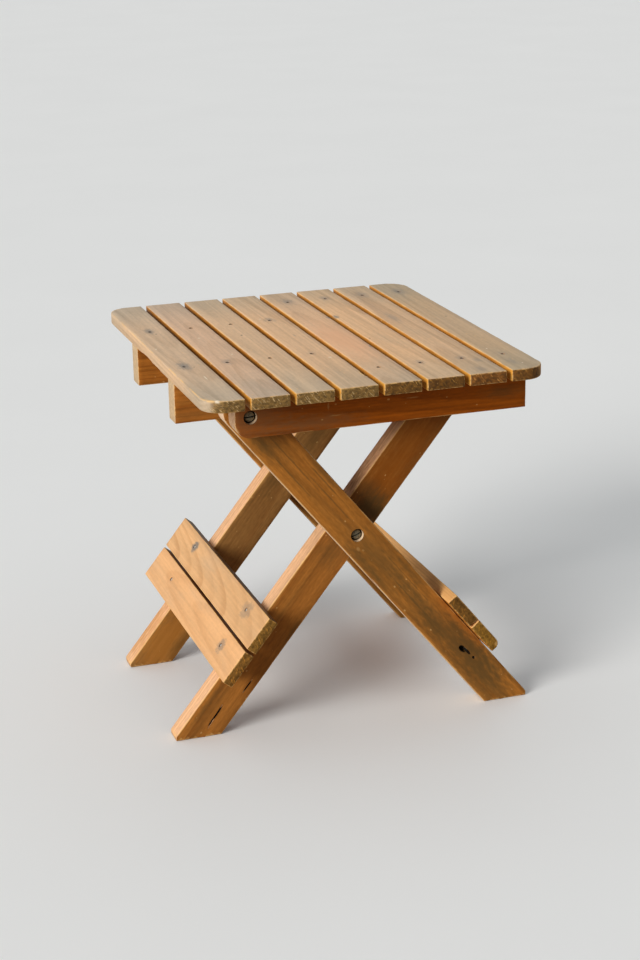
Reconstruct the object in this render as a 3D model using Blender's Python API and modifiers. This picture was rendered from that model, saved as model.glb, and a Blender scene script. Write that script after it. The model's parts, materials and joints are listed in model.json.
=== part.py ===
"""Folding stool: a slatted seat in two interleaved halves on two crossed pairs of legs.

Metres, +Z up. The origin is on the floor under the middle of the seat. +X runs along the rails to the
right and +Y along the slats to the back. The slats on the right are nailed to the outer rails, which turn
on the tops of the outer legs at the left. The slats on the left are nailed to the inner rails, which turn
on the tops of the inner legs at the right. Each half rests on the other half's rails when the stool is open.
"""
import math

import bmesh
import bpy
from mathutils import Euler, Vector

# Seat slats
SLATS_PER_HALF = 4
SLAT_LENGTH = 0.388
SLAT_WIDTH = 0.038
SLAT_GAP = 0.005
SLAT_THICKNESS = 0.012
SEAT_HEIGHT = 0.376
SEAT_CORNER_RADIUS = 0.022

# Rails under the slats
RAIL_HEIGHT = 0.041
RAIL_THICKNESS = 0.022
RAIL_END_REACH = 0.0155
RAIL_END_RADIUS = 0.0155
RAIL_SQUARE_END_INSET = 0.0015
PIVOT_INSET = 0.056

# Crossed legs
LEG_WIDTH = 0.040
LEG_THICKNESS = 0.022
LEG_TOP_CLEARANCE = 0.0005
CROSS_HEIGHT = 0.203
TOE_BLUNT_HEIGHT = 0.005

# Frame of rails and legs under the slats
SLAT_OVERHANG = 0.040
FRAME_SETBACK = 0.0065

# Rungs across the lower legs
RUNG_EXTRA_LENGTH = 0.004
RUNG_WIDTH = 0.038
RUNG_THICKNESS = 0.012
LEFT_RUNG_GAP = 0.0024
RIGHT_RUNG_GAP = 0.002
LEFT_RUNG_FROM_TOE = 0.0851
RIGHT_RUNG_FROM_TOE = 0.0825
LEFT_RUNG_OVERHANG = 0.037
RIGHT_RUNG_OVERHANG = 0.019
RIGHT_RUNG_EDGE_RADIUS = 0.007

# Lost-head nails
NAIL_LENGTH = 0.032
NAIL_HEAD_RADIUS = 0.0016
NAIL_HEAD_DEPTH = 0.0015
NAIL_SHANK_RADIUS = 0.0010
NAIL_POINT_LENGTH = 0.003
NAIL_SINK = 0.0008
FRONT_NAIL_SHIFT = -0.003
RUNG_NAIL_SETBACK = 0.005
LOWER_RUNG_NAIL_RISE = 0.0025
UPPER_RUNG_NAIL_RISE = 0.006

# Slotted pivot screws in counterbores, with a washer between the timbers
COUNTERBORE_RADIUS = 0.0065
COUNTERBORE_DEPTH = 0.0055
SCREW_HEAD_RADIUS = 0.0050
SCREW_HEAD_HEIGHT = 0.0030
SCREW_HEAD_EDGE = 0.0012
SCREW_SHANK_RADIUS = 0.0030
SCREW_BITE = 0.016
SCREW_TIP_LENGTH = 0.003
SLOT_WIDTH = 0.0014
SLOT_DEPTH = 0.0013
LEFT_SLOT_TURN = math.radians(4)
CROSS_SLOT_TURN = math.radians(20)
RIGHT_SLOT_TURN = math.radians(-35)
WASHER_RADIUS = 0.008
WASHER_THICKNESS = 0.001

# Finish and fit
ARRIS = 0.0012
FIT_GAP = 0.0003
CUT_MARGIN = 0.002
CORNER_STEPS = 8
DOME_STEPS = 3
NAIL_SIDES = 8
SCREW_SIDES = 14
ARRIS_ANGLE = math.radians(35)
SMOOTH_ANGLE = math.radians(40)
FLAT_ANGLE = 0.001
MERGE_DISTANCE = 0.00001

# Places that follow from the sizes above
FRAME_WIDTH = SLAT_LENGTH - 2 * SLAT_OVERHANG
RUNG_LENGTH = FRAME_WIDTH + RUNG_EXTRA_LENGTH
SLAT_COUNT = 2 * SLATS_PER_HALF
SLAT_PITCH = SLAT_WIDTH + SLAT_GAP
SEAT_WIDTH = SLAT_COUNT * SLAT_WIDTH + (SLAT_COUNT - 1) * SLAT_GAP
RAIL_TOP = SEAT_HEIGHT - SLAT_THICKNESS - FIT_GAP
PIVOT_DROP = max(RAIL_HEIGHT / 2, LEG_WIDTH / 2 + LEG_TOP_CLEARANCE)
PIVOT_X = SEAT_WIDTH / 2 - PIVOT_INSET
PIVOT_Z = RAIL_TOP - PIVOT_DROP
LEG_ANGLE = math.atan2(PIVOT_Z - CROSS_HEIGHT, PIVOT_X)
UPPER_LEG = math.hypot(PIVOT_Z - CROSS_HEIGHT, PIVOT_X)
TIMBER_GAP = WASHER_THICKNESS + 2 * FIT_GAP

FRONT = -1
BACK = 1
SIDES = {FRONT: "front", BACK: "back"}
LEFT = -1
RIGHT = 1

# How far each layer's middle lies inside the outer face of the frame
LAYERS = {
    "outer_rail": RAIL_THICKNESS / 2,
    "outer_leg": RAIL_THICKNESS + TIMBER_GAP + LEG_THICKNESS / 2,
    "inner_leg": RAIL_THICKNESS + 2 * TIMBER_GAP + 1.5 * LEG_THICKNESS,
    "inner_rail": 1.5 * RAIL_THICKNESS + 3 * TIMBER_GAP + 2 * LEG_THICKNESS,
}

# Colour, roughness and metallic value of each finish
FINISHES = {
    "worn_slat_wood": ((0.52, 0.36, 0.23, 1.0), 0.62, 0.0),
    "varnished_rail_wood": ((0.24, 0.10, 0.03, 1.0), 0.40, 0.0),
    "varnished_leg_wood": ((0.36, 0.17, 0.05, 1.0), 0.40, 0.0),
    "pale_rung_wood": ((0.62, 0.39, 0.19, 1.0), 0.50, 0.0),
    "dull_nail_steel": ((0.10, 0.09, 0.08, 1.0), 0.55, 1.0),
    "dark_screw_steel": ((0.08, 0.07, 0.06, 1.0), 0.45, 1.0),
    "plain_washer_steel": ((0.45, 0.45, 0.44, 1.0), 0.40, 1.0),
}


def layer_place(layer, side):
    """Y of the middle of one layer of timber, at the front or the back of the frame."""
    return FRAME_SETBACK + side * (FRAME_WIDTH / 2 - LAYERS[layer])


def clear_scene():
    """Take away whatever the scene holds."""
    for item in list(bpy.data.objects):
        bpy.data.objects.remove(item, do_unlink=True)


def make_collection(name):
    """A new collection, linked to the scene."""
    group = bpy.data.collections.new(name)
    bpy.context.scene.collection.children.link(group)
    return group


def make_materials():
    """One Principled material for each finish."""
    made = {}
    for name, (colour, roughness, metallic) in FINISHES.items():
        material = bpy.data.materials.new(name)
        material.use_nodes = True
        shader = material.node_tree.nodes["Principled BSDF"]
        shader.inputs["Base Color"].default_value = colour
        shader.inputs["Roughness"].default_value = roughness
        shader.inputs["Metallic"].default_value = metallic
        material.diffuse_color = colour
        made[name] = material
    return made


clear_scene()
STOOL = make_collection("folding_stool")
CUTTERS = make_collection("stool_cutters")
MATERIALS = make_materials()


def add_axis(name, place, parent=None):
    """An empty on a joint's axis. Turning it swings everything parented to it."""
    axis = bpy.data.objects.new(name, None)
    axis.empty_display_size = LEG_WIDTH
    STOOL.objects.link(axis)
    axis.parent = parent
    axis.location = Vector(place) - (world_place(parent) if parent else Vector())
    return axis


def world_place(axis):
    """World place of an axis empty at rest, where every empty is unturned."""
    place = axis.location.copy()
    while axis.parent:
        axis = axis.parent
        place += axis.location
    return place


def settle(item, axis, place, turn):
    """Parent an object to its axis and put it at a world place."""
    item.parent = axis
    item.location = Vector(place) - world_place(axis)
    item.rotation_euler = turn


def finish_mesh(item, finish):
    """Give a mesh object its material and smooth shading between its sharp edges."""
    item.data.materials.clear()
    item.data.materials.append(MATERIALS[finish])
    item.data.shade_smooth()
    item.data.set_sharp_from_angle(angle=SMOOTH_ANGLE)


def rounded_outline(corners):
    """Points of a convex outline from (u, v, radius) corners in anticlockwise order."""
    points = []
    for index, (u, v, radius) in enumerate(corners):
        here = Vector((u, v))
        if radius == 0:
            points.append(here)
            continue
        back = (Vector(corners[index - 1][:2]) - here).normalized()
        ahead = (Vector(corners[(index + 1) % len(corners)][:2]) - here).normalized()
        half = back.angle(ahead) / 2
        centre = here + (back + ahead).normalized() * (radius / math.sin(half))
        first = here + back * (radius / math.tan(half)) - centre
        sweep = math.pi - 2 * half
        for step in range(CORNER_STEPS + 1):
            angle = math.atan2(first.y, first.x) + sweep * step / CORNER_STEPS
            points.append(centre + Vector((math.cos(angle), math.sin(angle))) * radius)
    return points


def make_board(name, corners, thickness, finish):
    """A flat board from its outline, with its arrises taken off."""
    curve = bpy.data.curves.new(name + "_outline", "CURVE")
    curve.dimensions = "2D"
    curve.fill_mode = "BOTH"
    curve.extrude = thickness / 2
    points = rounded_outline(corners)
    spline = curve.splines.new("POLY")
    spline.points.add(len(points) - 1)
    for target, point in zip(spline.points, points):
        target.co = (point.x, point.y, 0, 1)
    spline.use_cyclic_u = True
    outline = bpy.data.objects.new(name + "_outline", curve)
    STOOL.objects.link(outline)
    evaluated = outline.evaluated_get(bpy.context.evaluated_depsgraph_get())
    mesh = bpy.data.meshes.new_from_object(evaluated)
    bpy.data.objects.remove(outline, do_unlink=True)
    shape = bmesh.new()
    shape.from_mesh(mesh)
    bmesh.ops.remove_doubles(shape, verts=shape.verts, dist=MERGE_DISTANCE)
    bmesh.ops.dissolve_limit(shape, angle_limit=FLAT_ANGLE, verts=shape.verts, edges=shape.edges)
    bmesh.ops.recalc_face_normals(shape, faces=shape.faces)
    shape.to_mesh(mesh)
    shape.free()
    board = bpy.data.objects.new(name, mesh)
    STOOL.objects.link(board)
    finish_mesh(board, finish)
    arris = board.modifiers.new("arris", "BEVEL")
    arris.width = ARRIS
    arris.segments = 1
    arris.limit_method = "ANGLE"
    arris.angle_limit = ARRIS_ANGLE
    return board


def make_turned(name, profile, sides, closed=False):
    """A turned piece about local Z from (radius, height) points that run down its outer side."""
    mesh = bpy.data.meshes.new(name)
    shape = bmesh.new()
    ring = [shape.verts.new((radius, 0, height)) for radius, height in profile]
    for upper, lower in zip(ring, ring[1:]):
        shape.edges.new((upper, lower))
    if closed:
        shape.edges.new((ring[-1], ring[0]))
    shape.to_mesh(mesh)
    shape.free()
    piece = bpy.data.objects.new(name, mesh)
    screw = piece.modifiers.new("turn", "SCREW")
    screw.axis = "Z"
    screw.steps = sides
    screw.render_steps = sides
    screw.use_merge_vertices = True
    screw.merge_threshold = MERGE_DISTANCE
    screw.use_smooth_shade = True
    return piece


def make_cutter(cutter):
    """Put a cutter with the other cutters, out of the finished object."""
    CUTTERS.objects.link(cutter)
    cutter.hide_render = True
    cutter.display_type = "WIRE"
    return cutter


def cut(board, cutter):
    """Take a cutter's shape out of a board."""
    hole = board.modifiers.new(cutter.name, "BOOLEAN")
    hole.operation = "DIFFERENCE"
    hole.solver = "EXACT"
    hole.object = cutter


def turned_right(angle):
    """Turn that stands an outline up in the XZ plane with its u axis to the right, raised by an angle."""
    return Euler((math.pi / 2, -angle, 0))


def turned_left(angle):
    """Turn that stands an outline up in the XZ plane with its u axis to the left, raised by an angle."""
    return Euler((-math.pi / 2, angle - math.pi, 0))


def facing(side, spin=0):
    """Turn that points local +Z to the front or the back of the stool, spun about that direction."""
    return Euler((-side * math.pi / 2, side * spin, 0))


def rail_corners():
    """Rail outline: u runs from the pivot axis to the square end, v upwards from the axis."""
    top = PIVOT_DROP
    bottom = PIVOT_DROP - RAIL_HEIGHT
    end = PIVOT_X + SEAT_WIDTH / 2 - RAIL_SQUARE_END_INSET
    return [
        (-RAIL_END_REACH, bottom, RAIL_END_RADIUS),
        (end, bottom, 0),
        (end, top, 0),
        (-RAIL_END_REACH, top, RAIL_END_RADIUS),
    ]


def leg_corners():
    """Leg outline: u runs up the leg from the cross pivot, v towards the leg's upper edge."""
    half = LEG_WIDTH / 2
    rise = math.sin(LEG_ANGLE)
    run = math.cos(LEG_ANGLE)
    heel = -(CROSS_HEIGHT - half * run) / rise
    toe = toe_place() + TOE_BLUNT_HEIGHT / rise
    return [
        (heel, -half, 0),
        (UPPER_LEG + half, -half, half),
        (UPPER_LEG + half, half, half),
        (toe, half, 0),
        (toe - TOE_BLUNT_HEIGHT * rise, half - TOE_BLUNT_HEIGHT * run, 0),
    ]


def toe_place():
    """Where the leg's upper edge would meet the floor, measured along the leg from the cross pivot."""
    return -(CROSS_HEIGHT + LEG_WIDTH / 2 * math.cos(LEG_ANGLE)) / math.sin(LEG_ANGLE)


def on_leg(lean, along, across):
    """X and Z of a point on a leg that leans to the left or to the right."""
    x = lean * (along * math.cos(LEG_ANGLE) - across * math.sin(LEG_ANGLE))
    z = CROSS_HEIGHT + along * math.sin(LEG_ANGLE) + across * math.cos(LEG_ANGLE)
    return x, z


def nail_profile(gap):
    """Nail from the wood's surface downwards, grown by a gap to make its hole."""
    head_top = CUT_MARGIN if gap else -NAIL_SINK
    head_foot = -NAIL_SINK - NAIL_HEAD_DEPTH - gap
    point = -NAIL_SINK - NAIL_LENGTH - gap
    return [
        (0, head_top),
        (NAIL_HEAD_RADIUS + gap, head_top),
        (NAIL_HEAD_RADIUS + gap, head_foot),
        (NAIL_SHANK_RADIUS + gap, head_foot),
        (NAIL_SHANK_RADIUS + gap, point + NAIL_POINT_LENGTH),
        (0, point),
    ]


def drive_nail(name, axis, place, turn, boards):
    """A nail and its hole through the upper board and into the lower one."""
    nail = make_turned(name, nail_profile(0), NAIL_SIDES)
    nail.data.materials.append(MATERIALS["dull_nail_steel"])
    STOOL.objects.link(nail)
    hole = make_cutter(make_turned(name + "_hole", nail_profile(FIT_GAP), NAIL_SIDES))
    for item in (nail, hole):
        settle(item, axis, place, turn)
    for board in boards:
        cut(board, hole)


def screw_profile(timber):
    """Pivot screw from the face of the timber that holds its head down to its tip."""
    seat = -COUNTERBORE_DEPTH
    crown = seat + FIT_GAP + SCREW_HEAD_HEIGHT
    edge = seat + FIT_GAP + SCREW_HEAD_EDGE
    tip = -timber - TIMBER_GAP - SCREW_BITE
    dome = []
    for step in range(DOME_STEPS + 1):
        angle = math.pi / 2 * step / DOME_STEPS
        dome.append((SCREW_HEAD_RADIUS * math.sin(angle), edge + (crown - edge) * math.cos(angle)))
    return dome + [
        (SCREW_HEAD_RADIUS, seat + FIT_GAP),
        (SCREW_SHANK_RADIUS, seat + FIT_GAP),
        (SCREW_SHANK_RADIUS, tip + SCREW_TIP_LENGTH),
        (0, tip),
    ]


def screw_hole_profile(timber):
    """Counterbore, clearance hole and blind hole for a pivot screw."""
    bore = SCREW_SHANK_RADIUS + FIT_GAP
    tip = -timber - TIMBER_GAP - SCREW_BITE - FIT_GAP
    return [
        (0, CUT_MARGIN),
        (COUNTERBORE_RADIUS, CUT_MARGIN),
        (COUNTERBORE_RADIUS, -COUNTERBORE_DEPTH),
        (bore, -COUNTERBORE_DEPTH),
        (bore, tip + SCREW_TIP_LENGTH),
        (0, tip),
    ]


def make_slot(name):
    """Box that cuts the driving slot across a screw's head."""
    mesh = bpy.data.meshes.new(name)
    shape = bmesh.new()
    bmesh.ops.create_cube(shape, size=1)
    length = 2 * (SCREW_HEAD_RADIUS + CUT_MARGIN)
    bmesh.ops.scale(shape, vec=(length, SLOT_WIDTH, SLOT_DEPTH + CUT_MARGIN), verts=shape.verts)
    crown = -COUNTERBORE_DEPTH + FIT_GAP + SCREW_HEAD_HEIGHT
    lift = crown - SLOT_DEPTH + (SLOT_DEPTH + CUT_MARGIN) / 2
    bmesh.ops.translate(shape, vec=(0, 0, lift), verts=shape.verts)
    shape.to_mesh(mesh)
    shape.free()
    return make_cutter(bpy.data.objects.new(name, mesh))


def make_pivot(name, word, axis, place, side, holder, keeper, timber, slot_turn):
    """A pivot screw with its holes and washer. The holder turns on it and the keeper carries its thread."""
    turn = facing(side, slot_turn)
    screw = make_turned(f"{name}_screw_{word}", screw_profile(timber), SCREW_SIDES)
    screw.data.materials.append(MATERIALS["dark_screw_steel"])
    STOOL.objects.link(screw)
    slot = make_slot(f"{name}_slot_{word}")
    cut(screw, slot)
    hole = make_cutter(make_turned(f"{name}_hole_{word}", screw_hole_profile(timber), SCREW_SIDES))
    cut(holder, hole)
    cut(keeper, hole)
    washer = make_turned(f"{name}_washer_{word}", washer_profile(), SCREW_SIDES, closed=True)
    washer.data.materials.append(MATERIALS["plain_washer_steel"])
    STOOL.objects.link(washer)
    for item in (screw, slot, hole):
        settle(item, axis, place, turn)
    settle(washer, axis, Vector(place) - Vector((0, side * (timber + TIMBER_GAP / 2), 0)), turn)


def washer_profile():
    """Square section of a washer, down its outer side and up its bore."""
    bore = SCREW_SHANK_RADIUS + FIT_GAP
    half = WASHER_THICKNESS / 2
    return [(WASHER_RADIUS, half), (WASHER_RADIUS, -half), (bore, -half), (bore, half)]


def make_rails(layer, lean, axis):
    """The front and back rail of one seat half. Lean gives the side that their square ends point to."""
    rails = {}
    turn = turned_right(0) if lean == RIGHT else turned_left(0)
    for side, word in SIDES.items():
        rail = make_board(f"{layer}_{word}", rail_corners(), RAIL_THICKNESS, "varnished_rail_wood")
        settle(rail, axis, (-lean * PIVOT_X, layer_place(layer, side), PIVOT_Z), turn)
        rails[side] = rail
    return rails


def make_legs(layer, lean, axis):
    """The front and back leg of one pair. Lean gives the side that their tops point to."""
    legs = {}
    turn = turned_right(LEG_ANGLE) if lean == RIGHT else turned_left(LEG_ANGLE)
    for side, word in SIDES.items():
        leg = make_board(f"{layer}_{word}", leg_corners(), LEG_THICKNESS, "varnished_leg_wood")
        settle(leg, axis, (0, layer_place(layer, side), CROSS_HEIGHT), turn)
        legs[side] = leg
    return legs


def slat_corners(index):
    """Slat outline about its own middle, with the seat's round corners on the two outermost slats."""
    u = SLAT_WIDTH / 2
    v = SLAT_LENGTH / 2
    left = SEAT_CORNER_RADIUS if index == 0 else 0
    right = SEAT_CORNER_RADIUS if index == SLAT_COUNT - 1 else 0
    return [(-u, -v, left), (u, -v, right), (u, v, right), (-u, v, left)]


def make_slats(indices, layer, rails, axis):
    """The slats of one seat half, each nailed once to the front rail and once to the back rail."""
    for index in indices:
        name = f"slat_{index + 1}"
        x = (index - (SLAT_COUNT - 1) / 2) * SLAT_PITCH
        slat = make_board(name, slat_corners(index), SLAT_THICKNESS, "worn_slat_wood")
        settle(slat, axis, (x, 0, SEAT_HEIGHT - SLAT_THICKNESS / 2), Euler())
        for side, word in SIDES.items():
            shift = FRONT_NAIL_SHIFT if side == FRONT else 0
            place = (x + shift, layer_place(layer, side), SEAT_HEIGHT)
            drive_nail(f"{name}_nail_{word}", axis, place, Euler(), (slat, rails[side]))


def rung_corners(edge_radius):
    """Rung section: u runs up the leg and v off it, and the lower outer edge may be round."""
    u = RUNG_WIDTH / 2
    v = RUNG_THICKNESS / 2
    return [(-u, -v, 0), (u, -v, 0), (u, v, 0), (-u, v, edge_radius)]


def make_rungs(word, layer, lean, legs, axis, gap, from_toe, overhang, edge_radius):
    """The two rungs on the upper edges of one pair of legs, each nailed once to each leg."""
    face = LEG_WIDTH / 2 + FIT_GAP
    front_face = layer_place(layer, FRONT) - LEG_THICKNESS / 2
    middle = front_face - overhang + RUNG_LENGTH / 2
    rung_turn = turned_right(LEG_ANGLE) if lean == RIGHT else turned_left(LEG_ANGLE)
    nail_turn = Euler((0, -LEG_ANGLE, 0 if lean == RIGHT else math.pi))
    for level, count, nail_rise in (("lower", 0, LOWER_RUNG_NAIL_RISE), ("upper", 1, UPPER_RUNG_NAIL_RISE)):
        along = toe_place() + from_toe + RUNG_WIDTH / 2 + count * (RUNG_WIDTH + gap)
        x, z = on_leg(lean, along, face + RUNG_THICKNESS / 2)
        radius = edge_radius if level == "lower" else 0
        name = f"{word}_rung_{level}"
        rung = make_board(name, rung_corners(radius), RUNG_LENGTH, "pale_rung_wood")
        settle(rung, axis, (x, middle, z), rung_turn)
        x, z = on_leg(lean, along + nail_rise, face + RUNG_THICKNESS)
        for side, end in SIDES.items():
            place = (x, layer_place(layer, side) + RUNG_NAIL_SETBACK, z)
            drive_nail(f"{name}_nail_{end}", axis, place, nail_turn, (rung, legs[side]))


def make_pivots(outer_legs, inner_legs, outer_rails, inner_rails, outer, inner):
    """Six pivots: the cross of the legs and the top of every leg, at the front and at the back."""
    for side, word in SIDES.items():
        face = layer_place("outer_rail", side) + side * RAIL_THICKNESS / 2
        place = (-PIVOT_X, face, PIVOT_Z)
        make_pivot("left_pivot", word, outer, place, side, outer_rails[side], outer_legs[side],
                   RAIL_THICKNESS, LEFT_SLOT_TURN)
        face = layer_place("outer_leg", side) + side * LEG_THICKNESS / 2
        place = (0, face, CROSS_HEIGHT)
        make_pivot("cross_pivot", word, inner, place, side, outer_legs[side], inner_legs[side],
                   LEG_THICKNESS, CROSS_SLOT_TURN)
        face = layer_place("inner_rail", side) - side * RAIL_THICKNESS / 2
        place = (PIVOT_X, face, PIVOT_Z)
        make_pivot("right_pivot", word, inner, place, -side, inner_rails[side], inner_legs[side],
                   RAIL_THICKNESS, RIGHT_SLOT_TURN)


def build_stool():
    """Put the whole stool together, open and standing on the floor."""
    cross = (0, FRAME_SETBACK, CROSS_HEIGHT)
    outer = add_axis("outer_legs_axis", cross)
    inner = add_axis("inner_legs_axis", cross, outer)
    right_half = add_axis("right_seat_axis", (-PIVOT_X, FRAME_SETBACK, PIVOT_Z), outer)
    left_half = add_axis("left_seat_axis", (PIVOT_X, FRAME_SETBACK, PIVOT_Z), inner)
    outer_legs = make_legs("outer_leg", LEFT, outer)
    inner_legs = make_legs("inner_leg", RIGHT, inner)
    outer_rails = make_rails("outer_rail", RIGHT, right_half)
    inner_rails = make_rails("inner_rail", LEFT, left_half)
    make_slats(range(SLATS_PER_HALF), "inner_rail", inner_rails, left_half)
    make_slats(range(SLATS_PER_HALF, SLAT_COUNT), "outer_rail", outer_rails, right_half)
    make_rungs("left", "inner_leg", RIGHT, inner_legs, inner,
               LEFT_RUNG_GAP, LEFT_RUNG_FROM_TOE, LEFT_RUNG_OVERHANG, 0)
    make_rungs("right", "outer_leg", LEFT, outer_legs, outer,
               RIGHT_RUNG_GAP, RIGHT_RUNG_FROM_TOE, RIGHT_RUNG_OVERHANG, RIGHT_RUNG_EDGE_RADIUS)
    make_pivots(outer_legs, inner_legs, outer_rails, inner_rails, outer, inner)


build_stool()
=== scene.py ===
"""Looks of a worn folding stool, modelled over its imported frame.

The frame gives every place and joint. The timber, nails, screws and washers here stand for its plain solids,
with worn arrises, nail dents, cracks and knots, and each board has its own sawn grain. Lengths are in metres.
"""

import json
import math

import bmesh
import bpy
from bpy.props import FloatProperty, FloatVectorProperty, IntProperty, PointerProperty
from mathutils import Matrix, Vector


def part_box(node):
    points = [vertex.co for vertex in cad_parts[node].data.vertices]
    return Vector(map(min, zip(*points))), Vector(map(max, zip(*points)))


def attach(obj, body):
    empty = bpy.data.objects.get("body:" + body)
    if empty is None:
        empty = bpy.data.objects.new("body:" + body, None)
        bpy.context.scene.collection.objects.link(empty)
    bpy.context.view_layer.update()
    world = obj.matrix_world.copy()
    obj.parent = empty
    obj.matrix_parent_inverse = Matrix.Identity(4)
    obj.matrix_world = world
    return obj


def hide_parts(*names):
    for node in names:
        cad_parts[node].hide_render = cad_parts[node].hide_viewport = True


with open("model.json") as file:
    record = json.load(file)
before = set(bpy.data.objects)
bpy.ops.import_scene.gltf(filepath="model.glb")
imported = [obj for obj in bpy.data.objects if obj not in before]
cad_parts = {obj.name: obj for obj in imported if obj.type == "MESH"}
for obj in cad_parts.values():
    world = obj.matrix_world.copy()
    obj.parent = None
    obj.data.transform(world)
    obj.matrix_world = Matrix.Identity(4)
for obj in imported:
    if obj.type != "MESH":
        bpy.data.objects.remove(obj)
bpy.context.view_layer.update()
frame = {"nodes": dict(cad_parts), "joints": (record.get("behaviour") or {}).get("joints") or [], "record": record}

bl_info = {
    "name": "Folding Stool Looks",
    "version": (1, 0, 0),
    "blender": (4, 5, 0),
    "location": "View3D > Sidebar > Stool",
    "description": "Dresses the frame of a folding stool with worn timber, nails and screws",
    "category": "Object",
}

# What the frame says of bodies, slots and joint axes
BODY_OF = {node: body for body, nodes in frame["record"]["behaviour"]["bodies"].items() for node in nodes}
JOINT_PLACE = {joint["name"]: Vector(joint["pos_m"]) for joint in frame["joints"]}
CROSS = JOINT_PLACE["leg_fold"]
RIGHT_PIVOT = JOINT_PLACE["left_seat_pivot"]
LEG_ANGLE = math.atan2(RIGHT_PIVOT.z - CROSS.z, RIGHT_PIVOT.x - CROSS.x)

UP = Vector((0, 0, 1))
TO_THE_LEFT = Vector((-1, 0, 0))
TO_THE_FRONT = Vector((0, -1, 0))

SLATS = [f"slat_{number}" for number in range(1, 9)]
LEFT_SLATS, RIGHT_SLATS = SLATS[:4], SLATS[4:]
RAILS = ["outer_rail_front", "outer_rail_back", "inner_rail_front", "inner_rail_back"]
LEGS = ["outer_leg_front", "outer_leg_back", "inner_leg_front", "inner_leg_back"]
LEFT_RUNGS = ["left_rung_lower", "left_rung_upper"]
RIGHT_RUNGS = ["right_rung_lower", "right_rung_upper"]
RUNGS = LEFT_RUNGS + RIGHT_RUNGS
ROUND_RUNG = "right_rung_lower"
ARCHED_RUNG = "left_rung_upper"
ENDS = ("front", "back")
NAILS = [node for node in frame["nodes"] if "_nail_" in node]
SCREWS = [node for node in frame["nodes"] if "_screw_" in node]
WASHERS = [node for node in frame["nodes"] if "_washer_" in node]

# Which way the legs lean upwards, and the rungs with them: 1 to the right, -1 to the left
LEANS = {"outer_leg": -1, "inner_leg": 1, "left_rung": 1, "right_rung": -1}

# The board whose face holds the screw heads of each pivot
HEAD_TIMBERS = {"left_pivot": "outer_rail", "cross_pivot": "outer_leg", "right_pivot": "inner_rail"}


def kind_of(node):
    """A board's kind: its name without the number or side at the end."""
    return node.rpartition("_")[0]


def side_of(node):
    """The number or side at the end of a node's name."""
    return node.rpartition("_")[2]


def stand(centre, along, across):
    """Place of a board whose length and width run along two directions."""
    turn = Matrix((along, across, along.cross(across))).transposed()
    return Matrix.Translation(centre) @ turn.to_4x4()


def up_the_leg(lean):
    """Direction up a leg that leans to the left or to the right."""
    return Vector((lean * math.cos(LEG_ANGLE), 0, math.sin(LEG_ANGLE)))


def off_the_leg(lean):
    """Direction straight off a leg's upper edge."""
    return Vector((-lean * math.sin(LEG_ANGLE), 0, math.cos(LEG_ANGLE)))


def middle(node):
    """Middle of a frame node's box."""
    low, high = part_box(node)
    return (low + high) / 2


def extent(node):
    """Size of a frame node's box."""
    low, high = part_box(node)
    return high - low


def board_places():
    """Each board's place: its length runs along local X, its width along Y and its thickness along Z."""
    places = {node: stand(middle(node), -TO_THE_FRONT, TO_THE_LEFT) for node in SLATS}
    for node in RAILS:
        along = TO_THE_LEFT if node.startswith("inner") else -TO_THE_LEFT
        places[node] = stand(middle(node), along, UP)
    for node in LEGS:
        lean = LEANS[kind_of(node)]
        centre = Vector((CROSS.x, middle(node).y, CROSS.z))
        places[node] = stand(centre, up_the_leg(lean), off_the_leg(lean))
    for node in RUNGS:
        lean = LEANS[kind_of(node)]
        centre = middle(node)
        if node == ROUND_RUNG:
            centre.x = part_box(node)[0].x + extent("right_rung_upper").x / 2
        places[node] = stand(centre, TO_THE_FRONT * lean, up_the_leg(lean))
    return places


PLACES = board_places()


def length_value(label, description, default):
    """A length property in metres."""
    return FloatProperty(name=label, description=description, default=default, min=0, unit="LENGTH",
                         precision=5)


def colour_value(label, description, default):
    """A linear colour property."""
    return FloatVectorProperty(name=label, description=description, default=default, size=3, subtype="COLOR",
                               min=0, max=1)


def plain_value(label, description, default):
    """A property without a unit."""
    return FloatProperty(name=label, description=description, default=default, min=0)


class StoolTimberSettings(bpy.types.PropertyGroup):
    """Sizes of the timber and of its wear."""

    leg_width: length_value("Leg Width", "Width of a leg, twice the radius of its round top",
                            2 * (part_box("inner_leg_front")[1].z - RIGHT_PIVOT.z))
    toe_blunt: length_value("Toe Blunt", "Height of the blunt tip of a foot", 0.005)
    rail_round: length_value("Rail Round", "Radius of the corners at a rail's pivot end", 0.0155)
    seat_round: length_value("Seat Round", "Radius of the seat's corners", 0.022)
    rung_width: length_value("Rung Width", "Width of a rung up the leg", 0.038)
    rung_thickness: length_value("Rung Thickness", "Thickness of a rung", 0.012)
    rung_round: length_value("Rung Round", "Radius of the lower right rung's lower outer edge", 0.007)
    arris: length_value("Arris", "Width of the round along every edge", 0.0009)
    arris_wear: length_value("Arris Wear", "Deepest wear of an edge", 0.0004)
    face_wear: length_value("Face Wear", "Deepest hollow worn into a face", 0.00025)
    mesh_step: length_value("Mesh Step", "Distance between the cuts across a board", 0.004)
    arris_segments: IntProperty(name="Arris Segments", description="Steps in an edge's round", default=3,
                                min=1)


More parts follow.
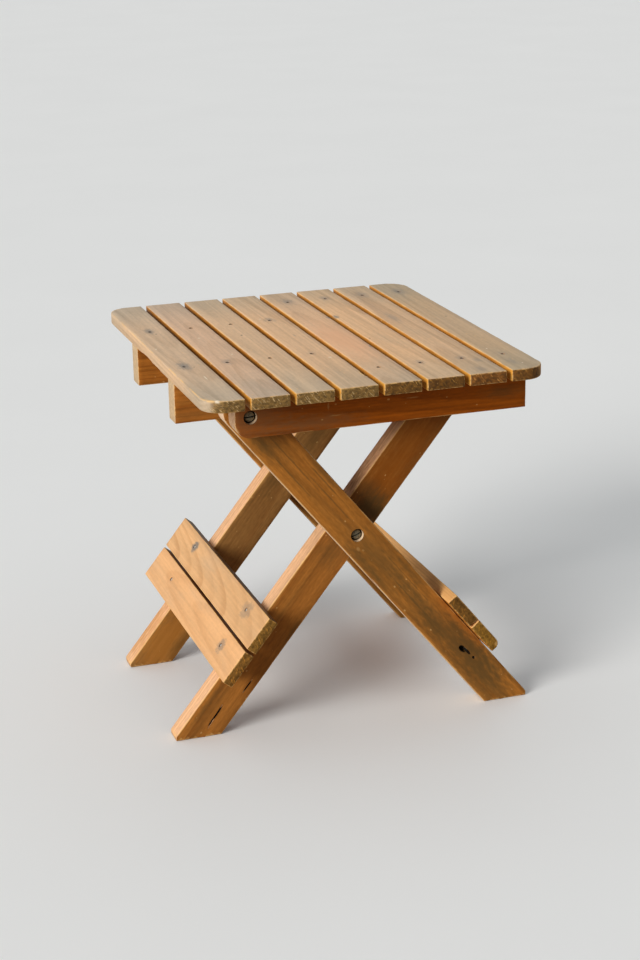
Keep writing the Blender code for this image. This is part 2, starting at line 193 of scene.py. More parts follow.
class StoolHardwareSettings(bpy.types.PropertyGroup):
    """Sizes of the nails, pivot screws and washers."""

    nail_length: length_value("Nail Length", "Length of a nail", 0.032)
    nail_head: length_value("Nail Head", "Radius of a nail's head", 0.0016)
    nail_shank: length_value("Nail Shank", "Radius of a nail's shank", 0.0010)
    nail_sink: length_value("Nail Sink", "Depth of a nail's head under the wood", 0.0008)
    nail_dent: length_value("Nail Dent", "Radius of the dent that the punch left round a nail", 0.0025)
    nail_hollow: length_value("Nail Hollow", "Depth of the hollow in a nail's head", 0.00025)
    nail_chamfer: length_value("Nail Chamfer", "Chamfer of a nail's head", 0.0002)
    screw_head: length_value("Screw Head", "Radius of a pivot screw's head", 0.0050)
    screw_shank: length_value("Screw Shank", "Radius of a pivot screw's shank", 0.0030)
    screw_dome: length_value("Screw Dome", "Height of a pivot screw's head", 0.0030)
    screw_edge: length_value("Screw Edge", "Height of the straight edge of a pivot screw's head", 0.0012)
    screw_chamfer: length_value("Screw Chamfer", "Chamfer of a screw's head, and radius of its tip", 0.0003)
    slot_width: length_value("Slot Width", "Width of a pivot screw's slot", 0.0014)
    slot_depth: length_value("Slot Depth", "Depth of a pivot screw's slot", 0.0013)
    point: length_value("Point", "Length of the point of a nail or screw", 0.003)
    counterbore: length_value("Counterbore", "Radius of the hole round a pivot screw's head", 0.0065)
    counterbore_depth: length_value("Counterbore Depth", "Depth of that hole", 0.0055)
    fit: length_value("Fit", "Gap between a shank and its hole", 0.0003)


class StoolFinishSettings(bpy.types.PropertyGroup):
    """Colours of the timber, stains and metal."""

    seat_worn: colour_value("Worn Seat", "Tops of the slats, bleached by use", (0.77, 0.485, 0.255))
    seat_grain: colour_value("Seat Grain", "Grain of the slats' tops", (0.58, 0.34, 0.160))
    greyed: colour_value("Greyed Ends", "Share of colour left at the slats' ends", (0.80, 0.90, 1.00))
    blush: colour_value("Blush", "Pink patch in the middle of one slat", (0.91, 0.455, 0.225))
    gap_varnish: colour_value("Gap Varnish", "Unworn varnish between the slats", (0.60, 0.245, 0.034))
    gap_grain: colour_value("Gap Grain", "Grain between the slats", (0.49, 0.180, 0.024))
    # Gap Gold: painted highlight, golden gap walls towards the front of the seat
    gap_highlight: colour_value("Gap Gold", "Fresh varnish at the front of the gaps", (0.82, 0.42, 0.06))
    # Gap Dirt: painted shade, with dirt, deep in the gaps between the slats
    gap_shade_and_dirt: colour_value("Gap Dirt", "Dirt in the depth of the gaps", (0.20, 0.085, 0.018))
    slat_end: colour_value("Slat End", "Dirty sawn ends of the slats", (0.245, 0.140, 0.038))
    rail_varnish: colour_value("Rail Varnish", "Varnished outer rails", (0.385, 0.094, 0.005))
    rail_grain: colour_value("Rail Grain", "Grain of the outer rails", (0.165, 0.034, 0.002))
    pale_end: colour_value("Pale End", "Bleached ends of the rails", (0.90, 0.68, 0.46))
    dust: colour_value("Dust", "Dusty patches on the varnish", (0.27, 0.118, 0.042))
    leg_varnish: colour_value("Leg Varnish", "Varnished outer legs", (0.54, 0.210, 0.034))
    leg_grain: colour_value("Leg Grain", "Grain of the outer legs", (0.32, 0.115, 0.018))
    inner_varnish: colour_value("Inner Varnish", "Varnished inner legs and rails", (0.46, 0.160, 0.024))
    inner_grain: colour_value("Inner Grain", "Grain of the inner legs and rails", (0.29, 0.085, 0.011))
    deep_varnish: colour_value("Deep Varnish", "Redder varnish high on an inner leg", (0.30, 0.080, 0.006))
    leg_worn: colour_value("Worn Leg", "Legs' edges that the light reaches", (0.75, 0.43, 0.23))
    leg_worn_grain: colour_value("Worn Leg Grain", "Grain of those edges", (0.60, 0.34, 0.18))
    # Leg Shade: the legs' dark streaks, and the painted shade and shadow marks on them
    leg_streak_and_shade: colour_value("Leg Shade", "Dark streaks along the legs", (0.14, 0.078, 0.024))
    rung_worn: colour_value("Worn Rung", "Faces of the rungs", (0.75, 0.415, 0.190))
    rung_grain: colour_value("Rung Grain", "Grain of the rungs", (0.56, 0.27, 0.105))
    rung_end: colour_value("Rung End", "Dirty sawn ends of the rungs and legs", (0.18, 0.085, 0.018))
    # Rung Dirt: darker colour on the left rungs' upper edges
    rung_upper_dark: colour_value("Rung Dirt", "Dirt on the left rungs' upper edges", (0.13, 0.095, 0.065))
    end_streak: colour_value("End Streak", "Pale fibres in the sawn ends", (0.80, 0.58, 0.30))
    bare_edge: colour_value("Bare Edge", "Wood worn bare along the edges", (0.84, 0.51, 0.19))
    raw_wood: colour_value("Raw Wood", "Walls of the counterbores", (0.78, 0.58, 0.38))
    weathered: colour_value("Weathered", "Grey patches on the worn faces", (0.47, 0.37, 0.26))
    iron_stain: colour_value("Iron Stain", "Grey halo that a rusting nail leaves", (0.20, 0.18, 0.155))
    # Dark Hole: also the painted shade on the counterbores' floors and on the screws' sunk parts
    hole_dark: colour_value("Dark Hole", "Inside of cracks, dents and knots", (0.012, 0.008, 0.005))
    pale_nick: colour_value("Pale Nick", "Fresh nicks in the worn tops", (0.95, 0.82, 0.62))
    seat_nail: colour_value("Seat Nail", "Rusted heads of the slats' nails", (0.050, 0.042, 0.036))
    rung_nail: colour_value("Rung Nail", "Rubbed heads of the rungs' nails", (0.52, 0.50, 0.46))
    screw_steel: colour_value("Screw Steel", "Tarnished screws", (0.25, 0.22, 0.15))
    washer_steel: colour_value("Washer Steel", "Plain washers", (0.45, 0.45, 0.44))
    rust: colour_value("Rust", "Rust on nails, screws and washers", (0.085, 0.040, 0.020))


class StoolStageSettings(bpy.types.PropertyGroup):
    """Floor, light and camera."""

    floor_colour: colour_value("Floor", "Plain pale floor as the camera sees it", (0.93, 0.93, 0.92))
    floor_cloud: colour_value("Floor Cloud", "The same where it is cloudy", (0.8928, 0.8928, 0.8832))
    floor_bounce: colour_value("Floor Bounce", "Floor as it lights the stool from below", (0.34, 0.27, 0.20))
    sky_colour: colour_value("Sky", "Soft light of the room and the wall", (0.95, 0.98, 1.0))
    window_colour: colour_value("Window", "Light of the window", (1.0, 0.98, 0.95))
    room_light: plain_value("Room Light", "Light from the room in front", 0.10)
    ceiling_light: plain_value("Ceiling Light", "Further light from above", 0.38)
    wall_light: plain_value("Wall Light", "Further light from the wall behind", 0.24)
    room_shine: plain_value("Room Shine", "Room in front as a gloss shows it", 0.06)
    wall_shine: plain_value("Wall Shine", "Wall behind as a gloss shows it", 0.60)
    wall_seen: plain_value("Wall Seen", "Wall behind as the camera sees it", 0.70)
    window_light: plain_value("Window Light", "Strength of the window at the left", 3.0)
    window_spread: FloatProperty(name="Window Spread", description="Angle that the window fills",
                                 default=math.radians(30), subtype="ANGLE")
    lens: plain_value("Lens", "Focal length of the camera in millimetres", 72.1)


# Modelling: how nearly an edge runs along an axis, angles of sharp and of smooth edges, and welding distances
NEARLY_ALONG = 0.99
SHARP_ANGLE = math.radians(35)
SMOOTH_ANGLE = math.radians(40)
WELD = 0.00001
SLICE_WELD = 0.0002

# First cut beside an edge in widths of its round, and step of the cuts across the width in mesh steps
SLICE_MARGIN = 1.6
WIDE_STEP = 1.5

# Sizes of the noises that wear the edges, hollow the faces and tear the cracks, how far the cracks are torn,
# and the middle of a noise
EDGE_WEAR_SIZE = 0.011
FACE_WEAR_SIZE = 0.045
TEAR_SIZE = 0.003
TEAR = 0.0006
NOISE_MIDDLE = 0.5

# Share of the deepest wear that every face has, which keeps it inside the frame's box
LEAST_WEAR = 0.15

# How far the cutters of nails and screws stand out of the wood, and how far a nail's dent flares there
NAIL_CLEAR = 0.001
SCREW_CLEAR = 0.002
DENT_FLARE = 1.3

# Sides of the round pieces and holes, and steps of a leg's round top
NAIL_SIDES, DENT_SIDES, SCREW_SIDES, LEG_TOP_STEPS = 20, 16, 32, 16


def rest_alone(piece):
    """Make one object the only selected and the active one."""
    bpy.ops.object.select_all(action="DESELECT")
    piece.select_set(True)
    bpy.context.view_layer.objects.active = piece


def open_edit(piece):
    """Go into edit mode on one object, by edges and with nothing selected."""
    rest_alone(piece)
    bpy.ops.object.mode_set(mode="EDIT")
    bpy.ops.mesh.select_mode(type="EDGE")
    bpy.ops.mesh.select_all(action="DESELECT")


def close_edit():
    """Go back to object mode."""
    bpy.ops.object.mode_set(mode="OBJECT")


def select_edges_along(piece, axis, wanted):
    """Select the edges along one of a board's axes whose middle is wanted."""
    shape = bmesh.from_edit_mesh(piece.data)
    for edge in shape.edges:
        first, second = (vertex.co for vertex in edge.verts)
        along = abs((first - second).normalized()[axis]) > NEARLY_ALONG
        edge.select_set(along and wanted((first + second) / 2))
    shape.select_flush_mode()
    bmesh.update_edit_mesh(piece.data)


def apply_modifiers(piece):
    """Apply an object's modifiers in order."""
    rest_alone(piece)
    for name in [modifier.name for modifier in piece.modifiers]:
        bpy.ops.object.modifier_apply(modifier=name)


def shade_rounds(piece):
    """Shade a piece's rounds smooth and its corners sharp."""
    rest_alone(piece)
    bpy.ops.object.shade_smooth_by_angle(angle=SMOOTH_ANGLE)


def saw_blank(name, length, width, thickness):
    """A square board about the origin."""
    bpy.ops.object.select_all(action="DESELECT")
    bpy.ops.mesh.primitive_cube_add(size=1)
    blank = bpy.context.object
    blank.name = name
    blank.scale = (length, width, thickness)
    bpy.ops.object.transform_apply(location=False, rotation=False, scale=True)
    return blank


def round_corners(blank, radius, wanted, steps=10, axis=2):
    """Round some of a board's edges along one axis, through its thickness unless another is given."""
    open_edit(blank)
    select_edges_along(blank, axis, wanted)
    bpy.ops.mesh.bevel(offset=radius, segments=steps, affect="EDGES")
    bpy.ops.mesh.select_all(action="SELECT")
    bpy.ops.mesh.remove_doubles(threshold=WELD)
    close_edit()


def saw_off(blank, point, outward):
    """Saw off what lies outward of a plane."""
    open_edit(blank)
    bpy.ops.mesh.select_all(action="SELECT")
    bpy.ops.mesh.bisect(plane_co=point, plane_no=outward, use_fill=True, clear_outer=True)
    close_edit()


def ease_arrises(blank, width, segments):
    """Round every edge and keep the new vertices in a group for the wear."""
    open_edit(blank)
    bpy.ops.mesh.edges_select_sharp(sharpness=SHARP_ANGLE)
    bpy.ops.mesh.bevel(offset=width, segments=segments, affect="EDGES")
    bpy.ops.object.vertex_group_add()
    bpy.context.object.vertex_groups.active.name = "arris"
    bpy.ops.object.vertex_group_assign()
    close_edit()


def slice_blank(blank, axis, low, high, margin, step):
    """Cut a board's faces evenly across one axis without parting it, so that wear can shape them."""
    normal = Vector((0, 0, 0))
    normal[axis] = 1
    span = high - low - 2 * margin
    count = max(1, round(span / step))
    open_edit(blank)
    for cut in range(count + 1):
        bpy.ops.mesh.select_all(action="SELECT")
        bpy.ops.mesh.bisect(plane_co=normal * (low + margin + span * cut / count), plane_no=normal)
    bpy.ops.mesh.select_all(action="SELECT")
    bpy.ops.mesh.remove_doubles(threshold=SLICE_WELD)
    close_edit()


def finish_blank(blank, timber, low, high, width, thickness):
    """Slice a blank for wear and ease its edges."""
    margin = SLICE_MARGIN * timber.arris
    slice_blank(blank, 0, low, high, margin, timber.mesh_step)
    slice_blank(blank, 1, -width / 2, width / 2, margin, WIDE_STEP * timber.mesh_step)
    slice_blank(blank, 2, -thickness / 2, thickness / 2, margin, timber.mesh_step)
    ease_arrises(blank, timber.arris, timber.arris_segments)


def place_copy(blank, name, place):
    """A copy of a blank with its own mesh, put in its place with the place in the mesh."""
    piece = blank.copy()
    piece.data = blank.data.copy()
    piece.name = name
    piece.data.name = name
    bpy.context.scene.collection.objects.link(piece)
    piece.matrix_world = place
    rest_alone(piece)
    bpy.ops.object.transform_apply(location=True, rotation=True, scale=True)
    return piece


def discard(*pieces):
    """Remove blanks and cutters that have been used."""
    for piece in pieces:
        bpy.data.objects.remove(piece, do_unlink=True)


def displace(piece, name, size, strength, level):
    """Add a modifier that moves a piece's surface by a soft noise."""
    texture = bpy.data.textures.get(name) or bpy.data.textures.new(name, "CLOUDS")
    texture.noise_scale = size
    texture.noise_depth = 2
    modifier = piece.modifiers.new(name, "DISPLACE")
    modifier.texture = texture
    modifier.strength = strength
    modifier.mid_level = level
    return modifier


def wear_down(piece, timber):
    """Wear the edges unevenly and hollow the faces a little, inwards only."""
    displace(piece, "edge_wear", EDGE_WEAR_SIZE, -timber.arris_wear, 0).vertex_group = "arris"
    displace(piece, "face_wear", FACE_WEAR_SIZE, -timber.face_wear, -LEAST_WEAR)
    apply_modifiers(piece)


def take_out(piece, cutters):
    """Cut shapes out of a piece and remove the cutters."""
    for cutter in cutters:
        hole = piece.modifiers.new(cutter.name, "BOOLEAN")
        hole.operation = "DIFFERENCE"
        hole.solver = "EXACT"
        hole.object = cutter
    apply_modifiers(piece)
    discard(*cutters)


def write_attribute(piece, name, values):
    """Give every vertex a value that the finish reads."""
    piece.data.attributes.new(name, "FLOAT", "POINT").data.foreach_set("value", values)


def keep_arris(piece):
    """Turn the arris group into an attribute."""
    weights = [max((member.weight for member in vertex.groups), default=0) for vertex in piece.data.vertices]
    piece.vertex_groups.clear()
    write_attribute(piece, "arris", weights)


def turn_piece(name, profile, sides):
    """A turned solid from (radius, height) rings, downwards from its top face."""
    bpy.ops.object.select_all(action="DESELECT")
    radius, height = profile[0]
    bpy.ops.mesh.primitive_circle_add(vertices=sides, radius=radius, fill_type="NGON",
                                      location=(0, 0, height))
    piece = bpy.context.object
    piece.name = name
    bpy.ops.object.transform_apply(location=True, rotation=False, scale=False)
    bpy.ops.object.mode_set(mode="EDIT")
    bpy.ops.mesh.select_mode(type="FACE")
    bpy.ops.mesh.select_all(action="SELECT")
    for next_radius, next_height in profile[1:]:
        bpy.ops.mesh.extrude_region_move(TRANSFORM_OT_translate={"value": (0, 0, next_height - height)})
        share = next_radius / radius
        bpy.ops.transform.resize(value=(share, share, 1), center_override=(0, 0, next_height))
        radius, height = next_radius, next_height
    bpy.ops.mesh.select_all(action="SELECT")
    bpy.ops.mesh.normals_make_consistent(inside=False)
    close_edit()
    shade_rounds(piece)
    return piece


def turn_cutter(node, profile, sides, place):
    """A turned cutter at the place of a nail or screw."""
    model = turn_piece(node + "_hole", profile, sides)
    cutter = place_copy(model, node + "_cutter", place)
    discard(model)
    return cutter


def dress(piece, node):
    """Let a finished piece stand for a frame node, on its body."""
    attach(piece, BODY_OF[node])
    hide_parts(node)


def nail_place(node):
    """Place of a nail, with local Z out of the wood and the origin on the wood's surface."""
    if node.startswith("slat"):
        sink = bpy.context.scene.stool_hardware.nail_sink
        centre = middle(node)
        return Matrix.Translation((centre.x, centre.y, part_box(node)[1].z + sink))
    rung = PLACES[node.split("_nail_")[0]]
    thickness = bpy.context.scene.stool_timber.rung_thickness
    corners = [corner.co for corner in bpy.data.objects[node].data.vertices]
    spot = rung.inverted() @ (sum(corners, Vector()) / len(corners))
    return rung @ Matrix.Translation((spot.x, spot.y, thickness / 2))


def nail_hole(node):
    """Cutter for the dent and the hole that a nail sits in."""
    hardware = bpy.context.scene.stool_hardware
    head = hardware.nail_head + hardware.fit
    shank = hardware.nail_shank + hardware.fit
    foot = -hardware.nail_sink - hardware.nail_head
    profile = [
        (DENT_FLARE * hardware.nail_dent, NAIL_CLEAR),
        (hardware.nail_dent, 0),
        (head, -hardware.nail_sink),
        (head, foot),
        (shank, foot),
        (shank, -hardware.nail_sink - hardware.nail_length),
    ]
    return turn_cutter(node, profile, DENT_SIDES, nail_place(node))


def screw_place(node):
    """Place of a pivot screw, with local Z out of its head and the origin on the face that holds the head."""
    low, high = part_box(node)
    hardware = bpy.context.scene.stool_hardware
    front = node.endswith("front") != node.startswith("right_pivot")
    buried = hardware.counterbore_depth - hardware.fit - hardware.screw_dome
    outward = TO_THE_FRONT if front else -TO_THE_FRONT
    face = low.y - buried if front else high.y + buried
    return stand(Vector((middle(node).x, face, middle(node).z)), UP.cross(outward), UP)


def screw_hole(node):
    """Cutter for a pivot screw's counterbore and shank."""
    hardware = bpy.context.scene.stool_hardware
    shank = hardware.screw_shank + hardware.fit
    profile = [
        (hardware.counterbore, SCREW_CLEAR),
        (hardware.counterbore, -hardware.counterbore_depth),
        (shank, -hardware.counterbore_depth),
        (shank, -extent(node).y - hardware.counterbore_depth),
    ]
    return turn_cutter(node, profile, SCREW_SIDES, screw_place(node))


def gouge(name, place, mark):
    """Cutter for a crack, chip or knot hole: a ragged lens at a place on a board."""
    bpy.ops.object.select_all(action="DESELECT")
    bpy.ops.mesh.primitive_ico_sphere_add(subdivisions=3, radius=1)
    cutter = bpy.context.object
    cutter.name = name
    cutter.scale = mark["half"]
    cutter.rotation_euler = (0, 0, mark.get("turn", 0))
    cutter.location = mark["at"]
    bpy.ops.object.transform_apply(location=True, rotation=True, scale=True)
    cutter.matrix_world = place
    bpy.ops.object.transform_apply(location=True, rotation=True, scale=True)
    displace(cutter, "torn_wood", TEAR_SIZE, mark.get("torn", TEAR), NOISE_MIDDLE)
    apply_modifiers(cutter)
    return cutter


# Cracks, chips and knot holes, each with its middle and half size in its board's own frame
LEG_FACE = extent("outer_leg_front").y / 2
SLAT_SIDE = extent("slat_4").x / 2
SLAT_TOP = extent("slat_4").z / 2
GOUGES = {
    "outer_leg_front": [
        {"at": (-0.1801, 0.0009, -LEG_FACE), "half": (0.0056, 0.0026, 0.0060), "turn": -0.3},
        {"at": (-0.1963, 0.0036, -LEG_FACE), "half": (0.0015, 0.0010, 0.0030)},
        {"at": (-0.0520, -0.0200, -LEG_FACE), "half": (0.0100, 0.0012, 0.0015)},
    ],
    "inner_leg_front": [
        {"at": (-0.2327, -0.0019, LEG_FACE), "half": (0.0150, 0.0007, 0.0060), "turn": 0.09, "torn": 0.0003},
        {"at": (-0.1892, -0.0115, LEG_FACE), "half": (0.0090, 0.0006, 0.0040), "torn": 0.0003},
    ],
    "slat_4": [
        {"at": (-0.1520, -SLAT_SIDE, SLAT_TOP), "half": (0.0115, 0.0018, 0.0022)},
        {"at": (-0.1600, -SLAT_SIDE + 0.0016, SLAT_TOP), "half": (0.0012, 0.0009, 0.0030)},
    ],
    "slat_1": [
        {"at": (0.0250, SLAT_SIDE, -SLAT_TOP), "half": (0.0280, 0.0022, 0.0035)},
        {"at": (-0.0150, SLAT_SIDE, -SLAT_TOP), "half": (0.0200, 0.0014, 0.0018)},
    ],
}


# The boards whose nails go into a board, and the pivots whose screws go through it
NAILED_TO = {"outer_rail": RIGHT_SLATS, "inner_rail": LEFT_SLATS, "outer_leg": RIGHT_RUNGS,
             "inner_leg": LEFT_RUNGS}
PIVOTS_IN = {"outer_rail": ["left_pivot"], "inner_rail": ["right_pivot"],
             "outer_leg": ["left_pivot", "cross_pivot"], "inner_leg": ["right_pivot", "cross_pivot"]}


def holes(node):
    """Cutters for the nails and pivot screws in a board."""
    if node in SLATS + RUNGS:
        return [nail_hole(f"{node}_nail_{end}") for end in ENDS]
    kind, end = kind_of(node), side_of(node)
    cutters = [nail_hole(f"{board}_nail_{end}") for board in NAILED_TO[kind]]
    return cutters + [screw_hole(f"{pivot}_screw_{end}") for pivot in PIVOTS_IN[kind]]


def finish_board(node, blank, turn=0):
    """Put a copy of a blank in a board's place, wear it, cut it and dress it."""
    place = PLACES[node]
    piece = place_copy(blank, "worn_" + node, place @ Matrix.Rotation(turn, 4, "Z"))
    wear_down(piece, bpy.context.scene.stool_timber)
    marks = enumerate(GOUGES.get(node, []))
    take_out(piece, holes(node) + [gouge(f"{node}_gouge_{count}", place, mark) for count, mark in marks])
    keep_arris(piece)
    shade_rounds(piece)
    piece.data.materials.clear()
    piece.data.materials.append(board_material(node))
    dress(piece, node)


def add_node(tree, kind, inputs=None, **settings):
    """Add a shader node, set it and connect its inputs."""
    made = tree.nodes.new("ShaderNode" + kind)
    for key, value in settings.items():
        setattr(made, key, value)
    for key, value in (inputs or {}).items():
        if isinstance(value, bpy.types.NodeSocket):
            tree.links.new(value, made.inputs[key])
        else:
            made.inputs[key].default_value = value
    return made


def calc(tree, operation, first, second=0.0, third=0.0):
    """A math node's value."""
    return add_node(tree, "Math", {0: first, 1: second, 2: third}, operation=operation).outputs[0]


def times(tree, first, second):
    """Two values multiplied."""
    return calc(tree, "MULTIPLY", first, second)


def ease(tree, value, start, end, low=0.0, high=1.0):
    """A smooth step from one value to another."""
    inputs = {"Value": value, "From Min": start, "From Max": end, "To Min": low, "To Max": high}
    return add_node(tree, "MapRange", inputs, interpolation_type="SMOOTHSTEP").outputs[0]


def opaque(colour):
    """A colour with its alpha, or a socket as it is."""
    return colour if isinstance(colour, bpy.types.NodeSocket) else (*colour, 1.0)


def mix(tree, mask, first, second, mode="MIX"):
    """A mix of two colours."""
    inputs = {0: mask, 6: opaque(first), 7: opaque(second)}
    return add_node(tree, "Mix", inputs, data_type="RGBA", blend_type=mode).outputs[2]


def parts(tree, vector):
    """A vector's parts along, across and through a board."""
    return add_node(tree, "SeparateXYZ", {0: vector}).outputs


def scaled(tree, vector, scale, shift):
    """A vector scaled by axis and shifted alike on each axis."""
    inputs = {0: vector, 1: scale, 2: add_node(tree, "CombineXYZ", {0: shift, 1: shift, 2: shift}).outputs[0]}
    return add_node(tree, "VectorMath", inputs, operation="MULTIPLY_ADD").outputs[0]


def noise(tree, vector, scale, seed, detail=2.0, roughness=0.5):
    """A noise's outputs, with its own scale along each axis."""
    inputs = {"Vector": scaled(tree, vector, scale, seed), "Scale": 1.0, "Detail": detail,
              "Roughness": roughness}
    return add_node(tree, "TexNoise", inputs).outputs


def facing(tree, normal, direction):
    """How far a surface faces in a direction."""
    inputs = {0: normal, 1: direction}
    return add_node(tree, "VectorMath", inputs, operation="DOT_PRODUCT").outputs["Value"]


def start_group(name, settings, outputs):
    """A shader node group on a board's own vector and seed, with the sockets of its input and output."""
    tree = bpy.data.node_groups.new(name, "ShaderNodeTree")
    tree.interface.new_socket("Vector", in_out="INPUT", socket_type="NodeSocketVector")
    for label in (*settings, "Seed"):
        tree.interface.new_socket(label, in_out="INPUT", socket_type="NodeSocketFloat")
    for label in outputs:
        tree.interface.new_socket(label, in_out="OUTPUT", socket_type="NodeSocketFloat")
    return tree, tree.nodes.new("NodeGroupInput").outputs, tree.nodes.new("NodeGroupOutput").inputs


def place_group(tree, group, inputs):
    """Place one of the shared groups in a material."""
    return add_node(tree, "Group", inputs, node_tree=bpy.data.node_groups[group]).outputs


# Scales of the noises, per metre along, across and through a board
GRAIN_SWAY = (1.6, 14.0, 14.0)
GRAIN_LAYERS = {"Bands": (1.8, 62.0, 62.0), "Fibre": (4.0, 340.0, 340.0), "Flecks": (150.0, 460.0, 460.0)}
SPOT_RAGS = (110.0, 320.0, 320.0)
EDGE_RAGS = (45.0, 260.0, 260.0)
SPECK_CELLS = (75.0, 110.0, 110.0)
TORN_FIBRES = (60.0, 900.0, 150.0)
END_BLOTCHES = (60.0, 260.0, 360.0)
PATCHES = (7.0, 28.0, 28.0)

# Growth rings: where in a ring the late wood begins and ends, and how strong the faintest and the others are
LATE_BEGINS, LATE_ENDS = (0.30, 0.88), (1.0, 0.90)
FAINTEST_RING, RING_SPREAD = 0.3, 0.7

# Steps of the noise and of the arris attribute between sound and worn edges
EDGE_STEP, ARRIS_STEP = (0.40, 0.62), (0.2, 0.9)

# Specks: step of a cell's chance, sizes in shares of a cell, and the share of a speck that is full
SPECK_STEP, SPECK_SIZES, SPECK_CORE = (0.1, 1.0), (0.04, 0.14), 0.5


def distance(tree, first, second):
    """The length of a vector of two parts."""
    return calc(tree, "SQRT", calc(tree, "MULTIPLY_ADD", first, first, times(tree, second, second)))


def grain_group():
    """Growth rings round a pith beside the board, with bands of tone, fibres and flecks along it."""
    settings = ["Pith Side", "Pith Depth", "Pith Tilt", "Pith Dive", "Ring Width", "Wobble"]
    tree, given, result = start_group("Sawn Grain", settings, ["Rings", *GRAIN_LAYERS])
    sway = parts(tree, noise(tree, given["Vector"], GRAIN_SWAY, given["Seed"], 1.0)["Color"])
    place = parts(tree, given["Vector"])
    offsets = []
    for axis, pith, slope in ((1, "Pith Side", "Pith Tilt"), (2, "Pith Depth", "Pith Dive")):
        offset = calc(tree, "SUBTRACT", place[axis], given[pith])
        offset = calc(tree, "MULTIPLY_ADD", place[0], given[slope], offset)
        offsets.append(calc(tree, "MULTIPLY_ADD", sway[axis - 1], given["Wobble"], offset))
    reach = calc(tree, "DIVIDE", distance(tree, *offsets), given["Ring Width"])
    phase = calc(tree, "ADD", reach, given["Seed"])
    share = calc(tree, "FRACT", phase)
    late = times(tree, ease(tree, share, *LATE_BEGINS), ease(tree, share, *LATE_ENDS))
    number = {"W": calc(tree, "FLOOR", phase)}
    each = add_node(tree, "TexWhiteNoise", number, noise_dimensions="1D").outputs[0]
    strength = calc(tree, "MULTIPLY_ADD", each, RING_SPREAD, FAINTEST_RING)
    tree.links.new(times(tree, late, strength), result["Rings"])
    for label, scale in GRAIN_LAYERS.items():
        layer = noise(tree, given["Vector"], scale, given["Seed"], 1.0 if label == "Flecks" else 2.0)
        tree.links.new(layer[0], result[label])


def spot_group():
    """A soft or ragged oval at one place on a board's face."""
    settings = ["Along", "Across", "Length", "Width", "Core", "Ragged"]
    tree, given, result = start_group("Spot", settings, ["Mask"])
    place = parts(tree, given["Vector"])
    along = calc(tree, "DIVIDE", calc(tree, "SUBTRACT", place[0], given["Along"]), given["Length"])
    across = calc(tree, "DIVIDE", calc(tree, "SUBTRACT", place[1], given["Across"]), given["Width"])
    rough = noise(tree, given["Vector"], SPOT_RAGS, given["Seed"], 2.0, 0.6)[0]
    rough = calc(tree, "SUBTRACT", rough, NOISE_MIDDLE)
    reach = calc(tree, "MULTIPLY_ADD", rough, given["Ragged"], distance(tree, along, across))
    tree.links.new(ease(tree, reach, 1.0, given["Core"]), result["Mask"])


def edge_group():
    """Wear along the arrises, broken up by noise."""
    tree, given, result = start_group("Worn Edge", ["Arris", "Amount"], ["Mask"])
    rough = noise(tree, given["Vector"], EDGE_RAGS, given["Seed"], 3.0, 0.6)[0]
    level = calc(tree, "ADD", rough, calc(tree, "SUBTRACT", given["Amount"], NOISE_MIDDLE))
    mask = times(tree, ease(tree, level, *EDGE_STEP), ease(tree, given["Arris"], *ARRIS_STEP))
    tree.links.new(mask, result["Mask"])


def speck_group():
    """Small pale specks, scattered over a board."""
    tree, given, result = start_group("Specks", [], ["Mask"])
    place = scaled(tree, given["Vector"], SPECK_CELLS, given["Seed"])
    cells = add_node(tree, "TexVoronoi", {"Vector": place, "Scale": 1.0}).outputs
    size = ease(tree, parts(tree, cells["Color"])[0], *SPECK_STEP, *SPECK_SIZES)
    tree.links.new(ease(tree, cells["Distance"], size, times(tree, size, SPECK_CORE)), result["Mask"])


# Finish of each kind of board: colours by the names of the finish settings, then how much its specks, rings,
# dark streaks, bare edges, bands, fibres and flecks show, and how dirty and torn its sawn ends are
WOOD_LOOK = dict(end="rung_end", fibres="end_streak", specks=0.50, rings=0.60, streaks=0.0, bare=0.50,
                 dirt=1.0)
SEAT_LOOK = dict(WOOD_LOOK, varnish="gap_varnish", grain="gap_grain", worn="seat_worn",
                 worn_grain="seat_grain", end="slat_end", bands=0.14, fibre=0.22, flecks=0.12, torn=0.80)
RAIL_LOOK = dict(WOOD_LOOK, varnish="rail_varnish", grain="rail_grain", worn="pale_end",
                 worn_grain="leg_worn", end="pale_end", rings=0.75, bands=0.22, fibre=0.46, flecks=0.20,
                 dirt=0.25, torn=0.25)
LEG_LOOK = dict(WOOD_LOOK, varnish="leg_varnish", grain="leg_grain", worn="leg_worn",
                worn_grain="leg_worn_grain", streaks=0.45, bare=0.56, bands=0.18, fibre=0.36, flecks=0.24,
                torn=0.40)
RUNG_LOOK = dict(WOOD_LOOK, varnish="leg_varnish", grain="leg_grain", worn="rung_worn",
                 worn_grain="rung_grain", fibres="gap_varnish", specks=0.25, bands=0.20, fibre=0.16,
                 flecks=0.08, dirt=0.8, torn=0.60)
INNER = dict(varnish="inner_varnish", grain="inner_grain", streaks=0.35)
LOOKS = {"slat": SEAT_LOOK, "outer_rail": RAIL_LOOK, "inner_rail": {**RAIL_LOOK, **INNER},
         "outer_leg": LEG_LOOK, "inner_leg": {**LEG_LOOK, **INNER}, "left_rung": RUNG_LOOK,
         "right_rung": RUNG_LOOK}

# How far single boards depart from the colour of their kind, on their worn faces
WORN_TINTS = {
    "slat_1": (0.93, 0.99, 1.13), "slat_2": (0.98, 0.98, 1.11), "slat_3": (1.00, 1.01, 1.06),
    "slat_4": (1.01, 0.98, 0.98), "slat_5": (1.02, 0.98, 1.00), "slat_6": (1.06, 1.00, 0.95),
    "slat_7": (0.95, 0.93, 0.93), "slat_8": (0.79, 0.82, 0.83), "left_rung_upper": (0.93, 0.97, 0.99),
    "right_rung_upper": (1.02, 0.98, 0.76), "right_rung_lower": (1.02, 0.98, 0.76),
    "outer_leg_front": (1.20, 1.55, 2.00),
}

